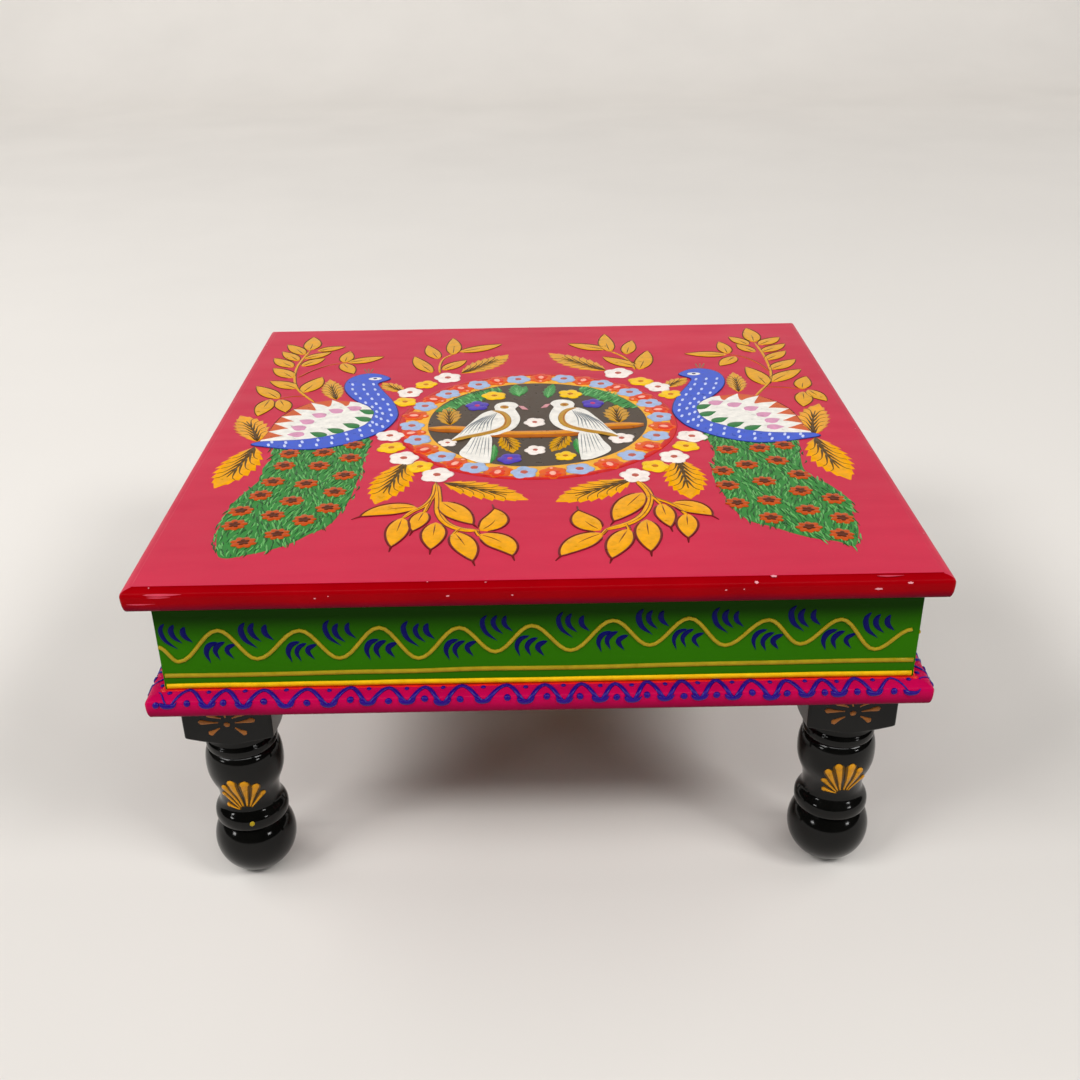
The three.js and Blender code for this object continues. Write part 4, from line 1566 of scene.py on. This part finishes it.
# Stems by their paint, as path and width
AMBER_STEMS = (
    (((-164, 54), (-173, 68), (-181.5, 84), (-187, 105), (-189.5, 130), (-188, 152), (-185.5, 173)), 2.6),
    (((163, 48), (171, 63), (180, 80), (185, 100), (186.5, 122), (186.5, 148), (184.5, 174)), 2.6),
    (((-74, 113), (-75, 130), (-73, 146), (-66.5, 157)), 2.4),
    (((80, 113), (77, 132), (72, 146), (63.5, 158)), 2.4),
)
ORANGE_STEMS = (
    (((-185, 108), (-177, 122), (-166, 134.5), (-153, 141)), 2.2),
    (((-173, 66), (-182, 66.5), (-192, 62)), 1.8),
    (((184, 104), (179, 122), (170, 138), (158, 146)), 2.2),
    (((175, 70), (190, 68), (204, 62)), 1.8),
)
FRONT_STEMS = (
    (((-64, -92), (-64.5, -112), (-69, -126), (-76, -134), (-81, -143)), 3.0),
    (((-63.5, -94), (-61, -116), (-59.5, -136), (-53.5, -151), (-44, -159), (-34, -160.5)), 4.6),
    (((-65, -112), (-66.5, -124), (-68.5, -136)), 2.4),
    (((-45, -158), (-47.5, -161), (-49, -165)), 2.0),
    (((-36, -160), (-35, -164), (-33.5, -168)), 2.2),
    (((69, -110), (73, -120), (81, -127.5), (87, -136), (90.5, -145)), 2.8),
    (((64, -94), (68, -104), (70.5, -116), (68.5, -131), (63, -145), (54, -155), (40, -162.5)), 4.6),
    (((71, -116), (74, -123), (76.5, -130)), 2.2),
    (((53, -155), (54, -160), (54, -164)), 2.0),
    (((41, -162), (39, -166), (37.5, -169)), 2.2),
)


def paint_leaves(sizes, colours):
    """Gold sprays at the back and front of the top, and the toothed leaves between them."""
    work = Paintwork(seed=31)
    for paint, stems in (("leaf_amber", AMBER_STEMS), ("wing_orange", ORANGE_STEMS)):
        for path, width in stems:
            work.stroke(path, width, paint, 0, 0.3)
            work.stroke([(x + 0.9, y) for x, y in path], 0.6, "vein_brown", 0.2, 0.2, comma)
    for foot, tip, width in (*BACK_LEAVES_LEFT, *BACK_LEAVES_RIGHT, *CENTRE_LEAVES):
        bend = work.hand.uniform(-0.07, 0.07)
        work.leaf(foot, tip, width, "leaf_amber", "vein_brown", 0.04, sizes.leaf_rise, bend, outline=0.6)
    for foot, tip, width, bend in BACK_TOOTHED_LEAVES:
        work.leaf(foot, tip, width, "leaf_amber", "vein_brown", 0.02, sizes.leaf_rise, bend, teeth=8)
    work.made("leaf_sprays_back", on_top, colours)
    work = Paintwork(seed=32)
    for path, width in FRONT_STEMS:
        work.stroke(path, width + 1.6, "leaf_line", 0, 0.16)
        work.stroke(path, width, "leaf_gold", 0.1, 0.34)
        work.stroke([(x + 0.4, y) for x, y in path], 0.7, "leaf_line", 0.38, 0.14, comma)
    rise = sizes.leaf_rise
    for foot, tip, width, bend in (*FRONT_LEAVES_LEFT, *FRONT_LEAVES_RIGHT):
        work.leaf(foot, tip, width, "leaf_gold", "leaf_line", 0.06, rise, bend, outline=1.7, tail=6)
    for foot, tip, width, bend in TOOTHED_LEAVES:
        work.leaf(foot, tip, width, "leaf_gold", "vein_brown", 0.02, rise, bend, teeth=8)
    work.made("leaf_sprays_front", on_top, colours)


# Ornament of the sides. Places are in mm along the side and up from the floor.

FRONT_WAVE = (
    (-216, 185), (-206, 175), (-181, 195.5), (-161, 176), (-135, 194.5), (-114, 175.5), (-90, 195.5),
    (-69, 174.5), (-45, 194.5), (-25, 178), (-4, 195), (18, 178), (42, 197.5), (63, 180.5), (85, 198),
    (106, 179.5), (130, 196), (149, 179.5), (171, 195.5), (192, 175), (212, 188),
)
# Comma strokes beside a trough and a crest of the wave, from its knot
OVER_TROUGH = (
    ((-4.5, 25), (-7.2, 20.5), (-5.4, 13.5), (1, 7.8)),
    ((1, 24), (-1.2, 20), (0, 15.5), (4.2, 11.5)),
    ((7, 23.5), (5.6, 20), (6.6, 16.5), (10.4, 13)),
)
UNDER_CREST = (
    ((-1, -7.2), (-6.2, -9.4), (-8.4, -14.5), (-6.6, -21)),
    ((3.4, -8), (-0.8, -10.4), (-2.8, -14.5), (-0.6, -20.2)),
    ((9, -10), (4.6, -12.2), (3.6, -15.2), (7, -20)),
)
MOULDING_CRESTS = (
    -202, -181, -159, -134, -109, -87, -66, -45, -19, 3, 24, 43.5, 62, 82, 102, 122, 142, 163, 182, 203,
)


def wave_knots(side, hand):
    """The apron's wave: the photographed front, and the same hand on the other sides."""
    if side == "front":
        return list(FRONT_WAVE)
    knots = [(-216, 186)]
    for index in range(len(FRONT_WAVE) - 2):
        x = -205 + 22.4 * index + hand.uniform(-2, 2)
        knots.append((x, 195.5 + hand.uniform(-1, 2) if index % 2 else 177 + hand.uniform(-2, 2)))
    knots.append((213, 187))
    return knots


def rounded_wave(knots, steps=7, crest=0.5):
    """A wave that passes its knots level. With crest under 0.5 its crests are narrower than its troughs."""
    line = [Vector(knots[0])]
    for start, end in zip(knots, knots[1:]):
        for step in range(1, steps + 1):
            t = step / steps
            even = (1 - math.cos(math.pi * t)) / 2
            rising = end[1] > start[1]
            peaked = 1 - math.cos(math.pi * t / 2) if rising else math.sin(math.pi * t / 2)
            share = even + (peaked - even) * (1 - 2 * crest)
            line.append(Vector((start[0] + (end[0] - start[0]) * t, start[1] + (end[1] - start[1]) * share)))
    return line


def ruled(end, height, pieces, wander, hand, climb=0):
    """A line ruled by hand from end to end, that climbs a little and wanders from its height."""
    shares = [index / pieces for index in range(pieces + 1)]
    return [(end * (2 * t - 1), height + climb * t + hand.uniform(-wander, wander)) for t in shares]


# Height of the apron's gold line, how far it climbs to the right, and the yellow line's height over the joint
GOLD_LINE = 165.4
GOLD_CLIMB = 2.2
YELLOW_LINE = 2.2


def paint_apron_border(side, sizes, colours):
    """The gold wave with its comma strokes, the gold line and the yellow line at the joint."""
    work = Paintwork(seed=40 + SIDES.index(side))
    hand = work.hand
    knots = wave_knots(side, hand)
    work.stroke(rounded_wave(knots), 2.5, "wave_gold", 0, sizes.wave_rise, even, 1)
    for index, (x, z) in enumerate(knots[1:-1]):
        for path in OVER_TROUGH if index % 2 == 0 else UNDER_CREST:
            shift = Vector((x, z)) + work.jitter(0.6, 0.8)
            line = [Vector(point) + shift for point in path]
            work.stroke(line, 3.4 + hand.uniform(-0.4, 0.4), "comma_blue", 0, 0.4, comma, 4)
    end = APRON_HALF - sizes.arris
    gold = ruled(end, GOLD_LINE, 12, 0.35, hand, GOLD_CLIMB)
    work.stroke(gold, 3.1, "wave_gold", 0, 0.7, even, 4)
    yellow = ruled(end, APRON_UNDER + YELLOW_LINE, 16, 0.25, hand)
    under = [(x, z - 1.3) for x, z in yellow]
    work.stroke(under, 1.5, "joint_orange", 0, 0.5, even, 4)
    work.stroke(yellow, 3.3, "joint_yellow", 0.1, 0.6, even, 4)
    work.made(f"apron_border_{side}", on_apron(side), colours)


# A stroke over each trough of the moulding's wave, from the trough
OVER_MOULDING_TROUGH = ((-5, -2.9), (-2.4, -0.6), (2.6, -0.7), (5.2, -3.2))

# Between the heights of the wave's crests and of its troughs, down the edge
WAVE_MIDDLE = 6


def moulding_crests(side, hand):
    """Where the crests of a side's wave stand: as photographed on the front, and evenly on the others."""
    if side == "front":
        return list(MOULDING_CRESTS)
    return [-203 + 21.4 * index + hand.uniform(-1.5, 1.5) for index in range(len(MOULDING_CRESTS))]


def paint_moulding_border(side, sizes, colours):
    """The raised violet wave along the base moulding, with a dot over each trough and under each crest."""
    work = Paintwork(seed=50 + SIDES.index(side))
    hand = work.hand
    crests = moulding_crests(side, hand)
    work.stroke(ruled(219, 0.7, 12, 0.15, hand), 2.6, "joint_red", 0, 0.22, even, 3)
    knots = [(-219.5, 3), (-213, hand.uniform(13, 14))]
    for crest, following in zip(crests, crests[1:] + [crests[-1] + 19]):
        knots.append((crest, hand.uniform(0.9, 2.6)))
        knots.append(((crest + following) / 2 + hand.uniform(-1, 1), hand.uniform(13, 14.8)))
    line = rounded_wave(knots, 6, 0.36)
    work.stroke(line, 2.9, "wave_violet", 0, sizes.wave_rise, thread, 1)
    for x, v in knots:
        if v > WAVE_MIDDLE:
            run = [(x + across, v + down) for across, down in OVER_MOULDING_TROUGH]
            work.stroke(run, 3.5 + hand.uniform(-0.3, 0.4), "wave_violet", 0.1, sizes.wave_rise, comma, 3)
            work.dot((x + hand.uniform(-0.6, 0.6), 3 + hand.uniform(-0.5, 0.8)), 1.5, "wave_violet", 0, 0.7)
        else:
            work.dot((x + hand.uniform(-1, 1), 11.2 + hand.uniform(-0.7, 0.9)), 2.1, "wave_violet", 0, 1.0)
    ledge = [(BASE_HALF - APRON_HALF, BASE_TOP - BASE_UNDER)]
    place = on_edge(side, BASE_HALF, BASE_UNDER, base_section(sizes) + ledge)
    work.made(f"moulding_border_{side}", place, colours)


# Painted highlights: pale streaks on the front edge where the lamps glint on its round: from, to, how far
# down the edge, and width
EDGE_HIGHLIGHTS = ((-215, -194, 6.4, 1.6), (-213, -200, 7.9, 1.0), (-225, -209, 12, 1.0), (185, 200, 2.4, 1.3))

# Chips of the front edge: along it, down it, radius and stretch
FRONT_CHIPS = ((129, 0.9, 1.2, 1.6), (119, 5.2, 0.9, 1.3), (186, 10.4, 0.8, 3.0), (203, 7, 0.7, 2.4))

# Scattered chips on each side, and how far down the edge they gather
CHIP_COUNT = 9
CHIP_LEVELS = (0.6, 2.0, 9.0, 10.5)


def paint_chips_and_highlights(sizes, colours):
    """Small chipped spots along the moulded edges where pale primer shows, and painted highlights on the
    front edge.
    """
    hand = random.Random(61)
    section = top_section(sizes, 0)
    for side in SIDES:
        chips_and_highlights = Paintwork(seed=62 + SIDES.index(side))
        spots = []
        for _ in range(CHIP_COUNT):
            down = hand.choice(CHIP_LEVELS) + hand.uniform(-0.5, 0.5)
            spots.append((hand.uniform(-215, 215), down, hand.uniform(0.25, 0.5), hand.uniform(1, 2.4)))
        if side == "front":
            spots += FRONT_CHIPS
            # Painted highlights: pale pink streaks where the lamps glint on the front edge
            for start, end, down, width in EDGE_HIGHLIGHTS:
                path = [(start, down), ((start + end) / 2, down + 0.2), (end, down - 0.1)]
                chips_and_highlights.stroke(path, width, "worn_pink", 0, 0.04, comma, 4)
        for x, v, radius, stretch in spots:
            turn = hand.uniform(0, 1)
            chips_and_highlights.bloom((x, v), radius, "chip_pale", 0, 0.05, notch=0.35, turn=turn, stretch=stretch)
        chips_and_highlights.made(f"edge_chips_{side}", on_edge(side, TOP_HALF, TOP_UNDER, section), colours)


# Gold drops of the legs: fan strokes as (foot, tip, width) on the vase, star strokes on the block
FAN = (
    ((-3.8, 58.0), (-14.0, 60.6), 4.2), ((-3.6, 59.0), (-15.0, 70.0), 5.4),
    ((-2.8, 60.0), (-12.6, 79.0), 6.2), ((-1.4, 60.6), (-6.4, 84.0), 6.8), ((1.0, 60.6), (3.4, 83.4), 7.2),
    ((2.8, 60.2), (10.6, 79.6), 6.4), ((3.8, 59.6), (15.0, 70.4), 5.0),
)
STAR = (
    ((-5, 1.6), (-17, 2.8)), ((-4.5, -2.4), (-12, -7.2)), ((5, 1.2), (16.5, 3.6)),
    ((4.5, -2.2), (11.5, -6.6)), ((-3, 4.5), (-11, 8.4)), ((3.5, 4.6), (12, 9)), ((-0.4, 5), (-2, 11)),
)
STAR_HEIGHT = 127.5
COLLAR_DOT = (4.5, 48)

# Where the two front legs' fans sit, to the right of the middle and above the place drawn
FAN_SHIFT = {"front_left": (1, -1), "front_right": (1.6, 3.5)}

# Shares of what is drawn: the spread of a fan's tips, a drop's width, and its end's radius by its width
SPREAD_SHARE = 0.9
DROP_SHARE = 0.62
HEAD_SHARE = 0.37


def paint_leg_gold(corner, facing, outline, colours, seed):
    """A star on the block, and a fan of drops on the vase where it faces the front or back."""
    if facing in ("front", "back"):
        fan = Paintwork(seed)
        shift = Vector(FAN_SHIFT.get(corner, (0, 0)))
        for foot, tip, width in FAN:
            near = Vector(foot) + shift
            far = Vector((tip[0] * SPREAD_SHARE, tip[1])) + shift + fan.jitter(0.4, 0.6)
            along = (far - near).normalized()
            under = [near - along * 0.7, (near + far) / 2, far + along * 0.7]
            fan.stroke(under, width + 1.2, "drop_shade", 0, 0.3, drop, 7)
            fan.stroke([near, (near + far) / 2, far], width * DROP_SHARE, "drop_gold", 0.16, 0.7, drop, 7)
            fan.dot(far - along * width * 0.3, width * HEAD_SHARE, "drop_gold", 0.3, 0.85)
        if corner == "front_left":
            fan.dot(COLLAR_DOT, 1.7, "wave_gold", 0, 0.4)
        fan.made(f"leg_fan_{corner}_{facing}", on_leg(corner, facing, outline), colours)
    star = Paintwork(seed + 1)
    centre = Vector((0, STAR_HEIGHT))
    star.dot(centre, 1.9, "drop_ochre", 0, 0.6)
    for near, far in STAR:
        near, far = Vector(near), Vector(far)
        shift = star.jitter(0.6, 0.5)
        path = [near, (near + far) / 2 + shift, far + shift]
        star.stroke([centre + point for point in path], 4.0, "drop_ochre", 0, 0.6, drop, 5)
    star.made(f"leg_star_{corner}_{facing}", on_block(corner, facing), colours)


# Studio: a pale floor that sweeps up behind, five softboxes, two small low lamps for glints, and the camera

# Distances of the lamps from under the table, in mm
FAR = 5500
NEARER = 4600

# Lamps: degrees round from the front and up from the floor, width and height as shares of the distance,
# the level's setting, a factor on it, and the distance
LAMPS = {
    "softbox_left": ((-58, 43), (0.42, 0.26), "left_light", 1, NEARER),
    "softbox_right": ((57, 43), (0.32, 0.26), "right_light", 1, NEARER),
    "glint_left": ((-54, 15), (0.14, 0.08), "glint_light", 1, FAR),
    "glint_right": ((48, 15), (0.14, 0.08), "glint_light", 1, FAR),
    "softbox_back_left": ((-106, 45), (0.6, 0.32), "back_light", 1.5, FAR),
    "softbox_back_right": ((106, 45), (0.6, 0.32), "back_light", 1, FAR),
    "softbox_high": ((0, 55), (0.8, 0.16), "high_light", 1, FAR),
}
LAMP_WHITE = (1.0, 0.992, 0.98)

# The floor: half its width, its front, where it starts to bend, the bend's radius and its top
FLOOR_HALF = 6000
FLOOR_FRONT = -4000
FLOOR_BACK = 3200
FLOOR_BEND = 900
BACKDROP_TOP = 2400

# Painted light on the paper, brighter to the left and far back and darker near the front as the lamps' light
# falls: its tone at the left, and how it changes: axis, places in metres, how far it goes over, tone
LEFT_LIGHT_TONE = 1.11
FLOOR_LIGHT_TONES = (("X", (-0.9, 0.9), 1, 0.98), ("Y", (0.05, -0.35), 0.8, 0.88), ("Y", (0.4, 3), 1, 1.24))
MOTTLE_TONE = 1.02

# The camera, as fitted to the photographed table's corners: place in mm, turns in radians, lens in mm
CAMERA_PLACE = (-1.0, -804.3, 557.1)
CAMERA_YAW = 0.0041983
CAMERA_PITCH = 0.4821666
CAMERA_ROLL = -0.0156926
SENSOR_WIDTH = 36
FOCAL_LENGTH = 40.69

# How far the camera sees, in metres
CLIP_END = 30


def lay_floor(colours):
    """A floor that sweeps up into a backdrop, with painted light in its tone."""
    line = [(FLOOR_FRONT, 0), (FLOOR_BACK, 0)]
    steps = 12
    for step in range(1, steps + 1):
        angle = math.radians(90 * step / steps)
        line.append((FLOOR_BACK + FLOOR_BEND * math.sin(angle), FLOOR_BEND - FLOOR_BEND * math.cos(angle)))
    line.append((FLOOR_BACK + FLOOR_BEND, BACKDROP_TOP))
    points = [Vector((x, y, z)) * MM for y, z in line for x in (-FLOOR_HALF, FLOOR_HALF)]
    faces = [(2 * i, 2 * i + 1, 2 * i + 3, 2 * i + 2) for i in range(len(line) - 1)]
    mesh = bpy.data.meshes.new("studio_floor")
    mesh.from_pydata(points, [], faces)
    mesh.polygons.foreach_set("use_smooth", [True] * len(faces))
    material, tree, place = blank_material("studio_paper")
    paper = colours.floor_paper
    mottle = noise(tree, place, 3, 3)
    spot = add_node(tree, "SeparateXYZ", Vector=place)
    # Painted light: the paper's tone changes across the floor to stand in for how the lamps' light falls
    tone = shade(paper, LEFT_LIGHT_TONE)
    for axis, span, most, factor in FLOOR_LIGHT_TONES:
        tone = washed(tree, tone, spot.outputs[axis], span, most, shade(paper, factor))
    tone = washed(tree, tone, mottle, SPREAD, 0.25, shade(paper, MOTTLE_TONE))
    mesh.materials.append(finished(material, Base_Color=tone, Roughness=0.9))
    floor = new_object("studio_floor", mesh)


def hang_lamp(name, direction, shares, level, distance):
    """A soft rectangular lamp that faces the table."""
    turn, climb = (math.radians(angle) for angle in direction)
    away = Vector((math.sin(turn), -math.cos(turn), math.tan(climb))).normalized()
    reach = distance * MM
    lamp = bpy.data.lights.new(name, "AREA")
    lamp.shape = "RECTANGLE"
    lamp.size, lamp.size_y = shares[0] * reach, shares[1] * reach
    lamp.energy = level * (math.pi * reach) ** 2 / math.sin(climb)
    lamp.color = LAMP_WHITE
    holder = new_object(name, lamp)
    holder.location = away * reach
    holder.rotation_euler = (-away).to_track_quat("-Z", "Y").to_euler()


def set_studio(studio, colours):
    """The floor, the lamps and the light of the room."""
    lay_floor(colours)
    for name, (direction, shares, setting, factor, distance) in LAMPS.items():
        hang_lamp(name, direction, shares, getattr(studio, setting) * factor, distance)
    world = bpy.context.scene.world or bpy.data.worlds.new("room")
    bpy.context.scene.world = world
    world.use_nodes = True
    backdrop = world.node_tree.nodes["Background"]
    backdrop.inputs[0].default_value = (*LAMP_WHITE, 1)
    backdrop.inputs[1].default_value = studio.room_light
    bpy.context.scene.view_settings.view_transform = "Standard"


def set_camera():
    """The camera that the photograph was taken with."""
    level = math.cos(CAMERA_PITCH)
    forward = Vector((math.sin(CAMERA_YAW) * level, math.cos(CAMERA_YAW) * level, -math.sin(CAMERA_PITCH)))
    right = Vector((math.cos(CAMERA_YAW), -math.sin(CAMERA_YAW), 0))
    up = right.cross(forward)
    across = right * math.cos(CAMERA_ROLL) + up * math.sin(CAMERA_ROLL)
    upward = up * math.cos(CAMERA_ROLL) - right * math.sin(CAMERA_ROLL)
    lens = bpy.data.cameras.new("camera")
    lens.sensor_width = SENSOR_WIDTH
    lens.lens = FOCAL_LENGTH
    lens.clip_end = CLIP_END
    camera = new_object("camera", lens)
    camera.matrix_world = Matrix((across, upward, -forward)).transposed().to_4x4()
    camera.location = Vector(CAMERA_PLACE) * MM
    bpy.context.scene.camera = camera


# Operators, one for each group of pieces


def settings(context):
    return context.scene.bajot_sizes, context.scene.bajot_colours


class BAJOT_OT_top(bpy.types.Operator):
    """Paint the top board and its moulded edge"""

    bl_idname = "bajot.top"
    bl_label = "Painted Top"

    def execute(self, context):
        paint_top(*settings(context))
        return {"FINISHED"}


class BAJOT_OT_base(bpy.types.Operator):
    """Paint the mitred rails of the base frame"""

    bl_idname = "bajot.base"
    bl_label = "Base Moulding"

    def execute(self, context):
        paint_base(*settings(context))
        return {"FINISHED"}


class BAJOT_OT_apron(bpy.types.Operator):
    """Paint the four apron boards"""

    bl_idname = "bajot.apron"
    bl_label = "Apron Boards"

    def execute(self, context):
        paint_apron(*settings(context))
        return {"FINISHED"}


class BAJOT_OT_legs(bpy.types.Operator):
    """Turn and lacquer the four legs"""

    bl_idname = "bajot.legs"
    bl_label = "Turned Legs"

    def execute(self, context):
        turn_legs(*settings(context))
        return {"FINISHED"}


class BAJOT_OT_hidden_parts(bpy.types.Operator):
    """Give the blocks, cleats, batten and screws inside the box their wood and steel"""

    bl_idname = "bajot.hidden_parts"
    bl_label = "Blocks, Cleats and Screws"

    def execute(self, context):
        finish_hidden_wood()
        finish_screws()
        return {"FINISHED"}


class BAJOT_OT_medallion(bpy.types.Operator):
    """Paint the medallion: ring, doves and the wreath beside it"""

    bl_idname = "bajot.medallion"
    bl_label = "Medallion and Wreath"

    def execute(self, context):
        sizes, colours = settings(context)
        paint_ring(sizes, colours)
        paint_medallion(sizes, colours)
        paint_wreath(sizes, colours)
        return {"FINISHED"}


class BAJOT_OT_peacocks(bpy.types.Operator):
    """Paint the two peacocks and their tails"""

    bl_idname = "bajot.peacocks"
    bl_label = "Peacocks"

    def execute(self, context):
        paint_peacocks(context.scene.bajot_colours)
        return {"FINISHED"}


class BAJOT_OT_leaves(bpy.types.Operator):
    """Paint the sprays of leaves on the top"""

    bl_idname = "bajot.leaves"
    bl_label = "Leaf Sprays"

    def execute(self, context):
        paint_leaves(*settings(context))
        return {"FINISHED"}


class BAJOT_OT_borders(bpy.types.Operator):
    """Paint the borders of the apron and the moulding, chip the edges and paint highlights on the front edge
    """

    bl_idname = "bajot.borders"
    bl_label = "Side Borders"

    def execute(self, context):
        sizes, colours = settings(context)
        for side in SIDES:
            paint_apron_border(side, sizes, colours)
            paint_moulding_border(side, sizes, colours)
        paint_chips_and_highlights(sizes, colours)
        return {"FINISHED"}


class BAJOT_OT_leg_gold(bpy.types.Operator):
    """Paint the gold fans and stars on the legs' outer faces"""

    bl_idname = "bajot.leg_gold"
    bl_label = "Gold on the Legs"

    def execute(self, context):
        sizes, colours = settings(context)
        outline = leg_outline(sizes)
        for index, corner in enumerate(CORNERS):
            for facing in (SIDES[index], SIDES[index - 1]):
                paint_leg_gold(corner, facing, outline, colours, 70 + 8 * index + 2 * SIDES.index(facing))
        return {"FINISHED"}


class BAJOT_OT_studio(bpy.types.Operator):
    """Set up the floor, the lamps and the camera"""

    bl_idname = "bajot.studio"
    bl_label = "Studio"

    def execute(self, context):
        set_studio(context.scene.bajot_studio, context.scene.bajot_colours)
        set_camera()
        return {"FINISHED"}


OPERATORS = (
    BAJOT_OT_studio,
    BAJOT_OT_top,
    BAJOT_OT_base,
    BAJOT_OT_apron,
    BAJOT_OT_legs,
    BAJOT_OT_hidden_parts,
    BAJOT_OT_medallion,
    BAJOT_OT_peacocks,
    BAJOT_OT_leaves,
    BAJOT_OT_borders,
    BAJOT_OT_leg_gold,
)


class BAJOT_PT_panel(bpy.types.Panel):
    """Lists what the table is dressed with"""

    bl_idname = "BAJOT_PT_panel"
    bl_label = "Painted Bajot"
    bl_space_type = "VIEW_3D"
    bl_region_type = "UI"
    bl_category = "Bajot"

    def draw(self, context):
        for operator in OPERATORS:
            self.layout.operator(operator.bl_idname)


CLASSES = (BajotColours, BajotSizes, BajotStudio, *OPERATORS, BAJOT_PT_panel)


def register():
    for kind in CLASSES:
        bpy.utils.register_class(kind)
    bpy.types.Scene.bajot_colours = PointerProperty(type=BajotColours)
    bpy.types.Scene.bajot_sizes = PointerProperty(type=BajotSizes)
    bpy.types.Scene.bajot_studio = PointerProperty(type=BajotStudio)


def unregister():
    del bpy.types.Scene.bajot_colours
    del bpy.types.Scene.bajot_sizes
    del bpy.types.Scene.bajot_studio
    for kind in reversed(CLASSES):
        bpy.utils.unregister_class(kind)


def main():
    register()
    for operator in OPERATORS:
        group, name = operator.bl_idname.split(".")
        getattr(getattr(bpy.ops, group), name)()


if __name__ == "__main__":
    main()
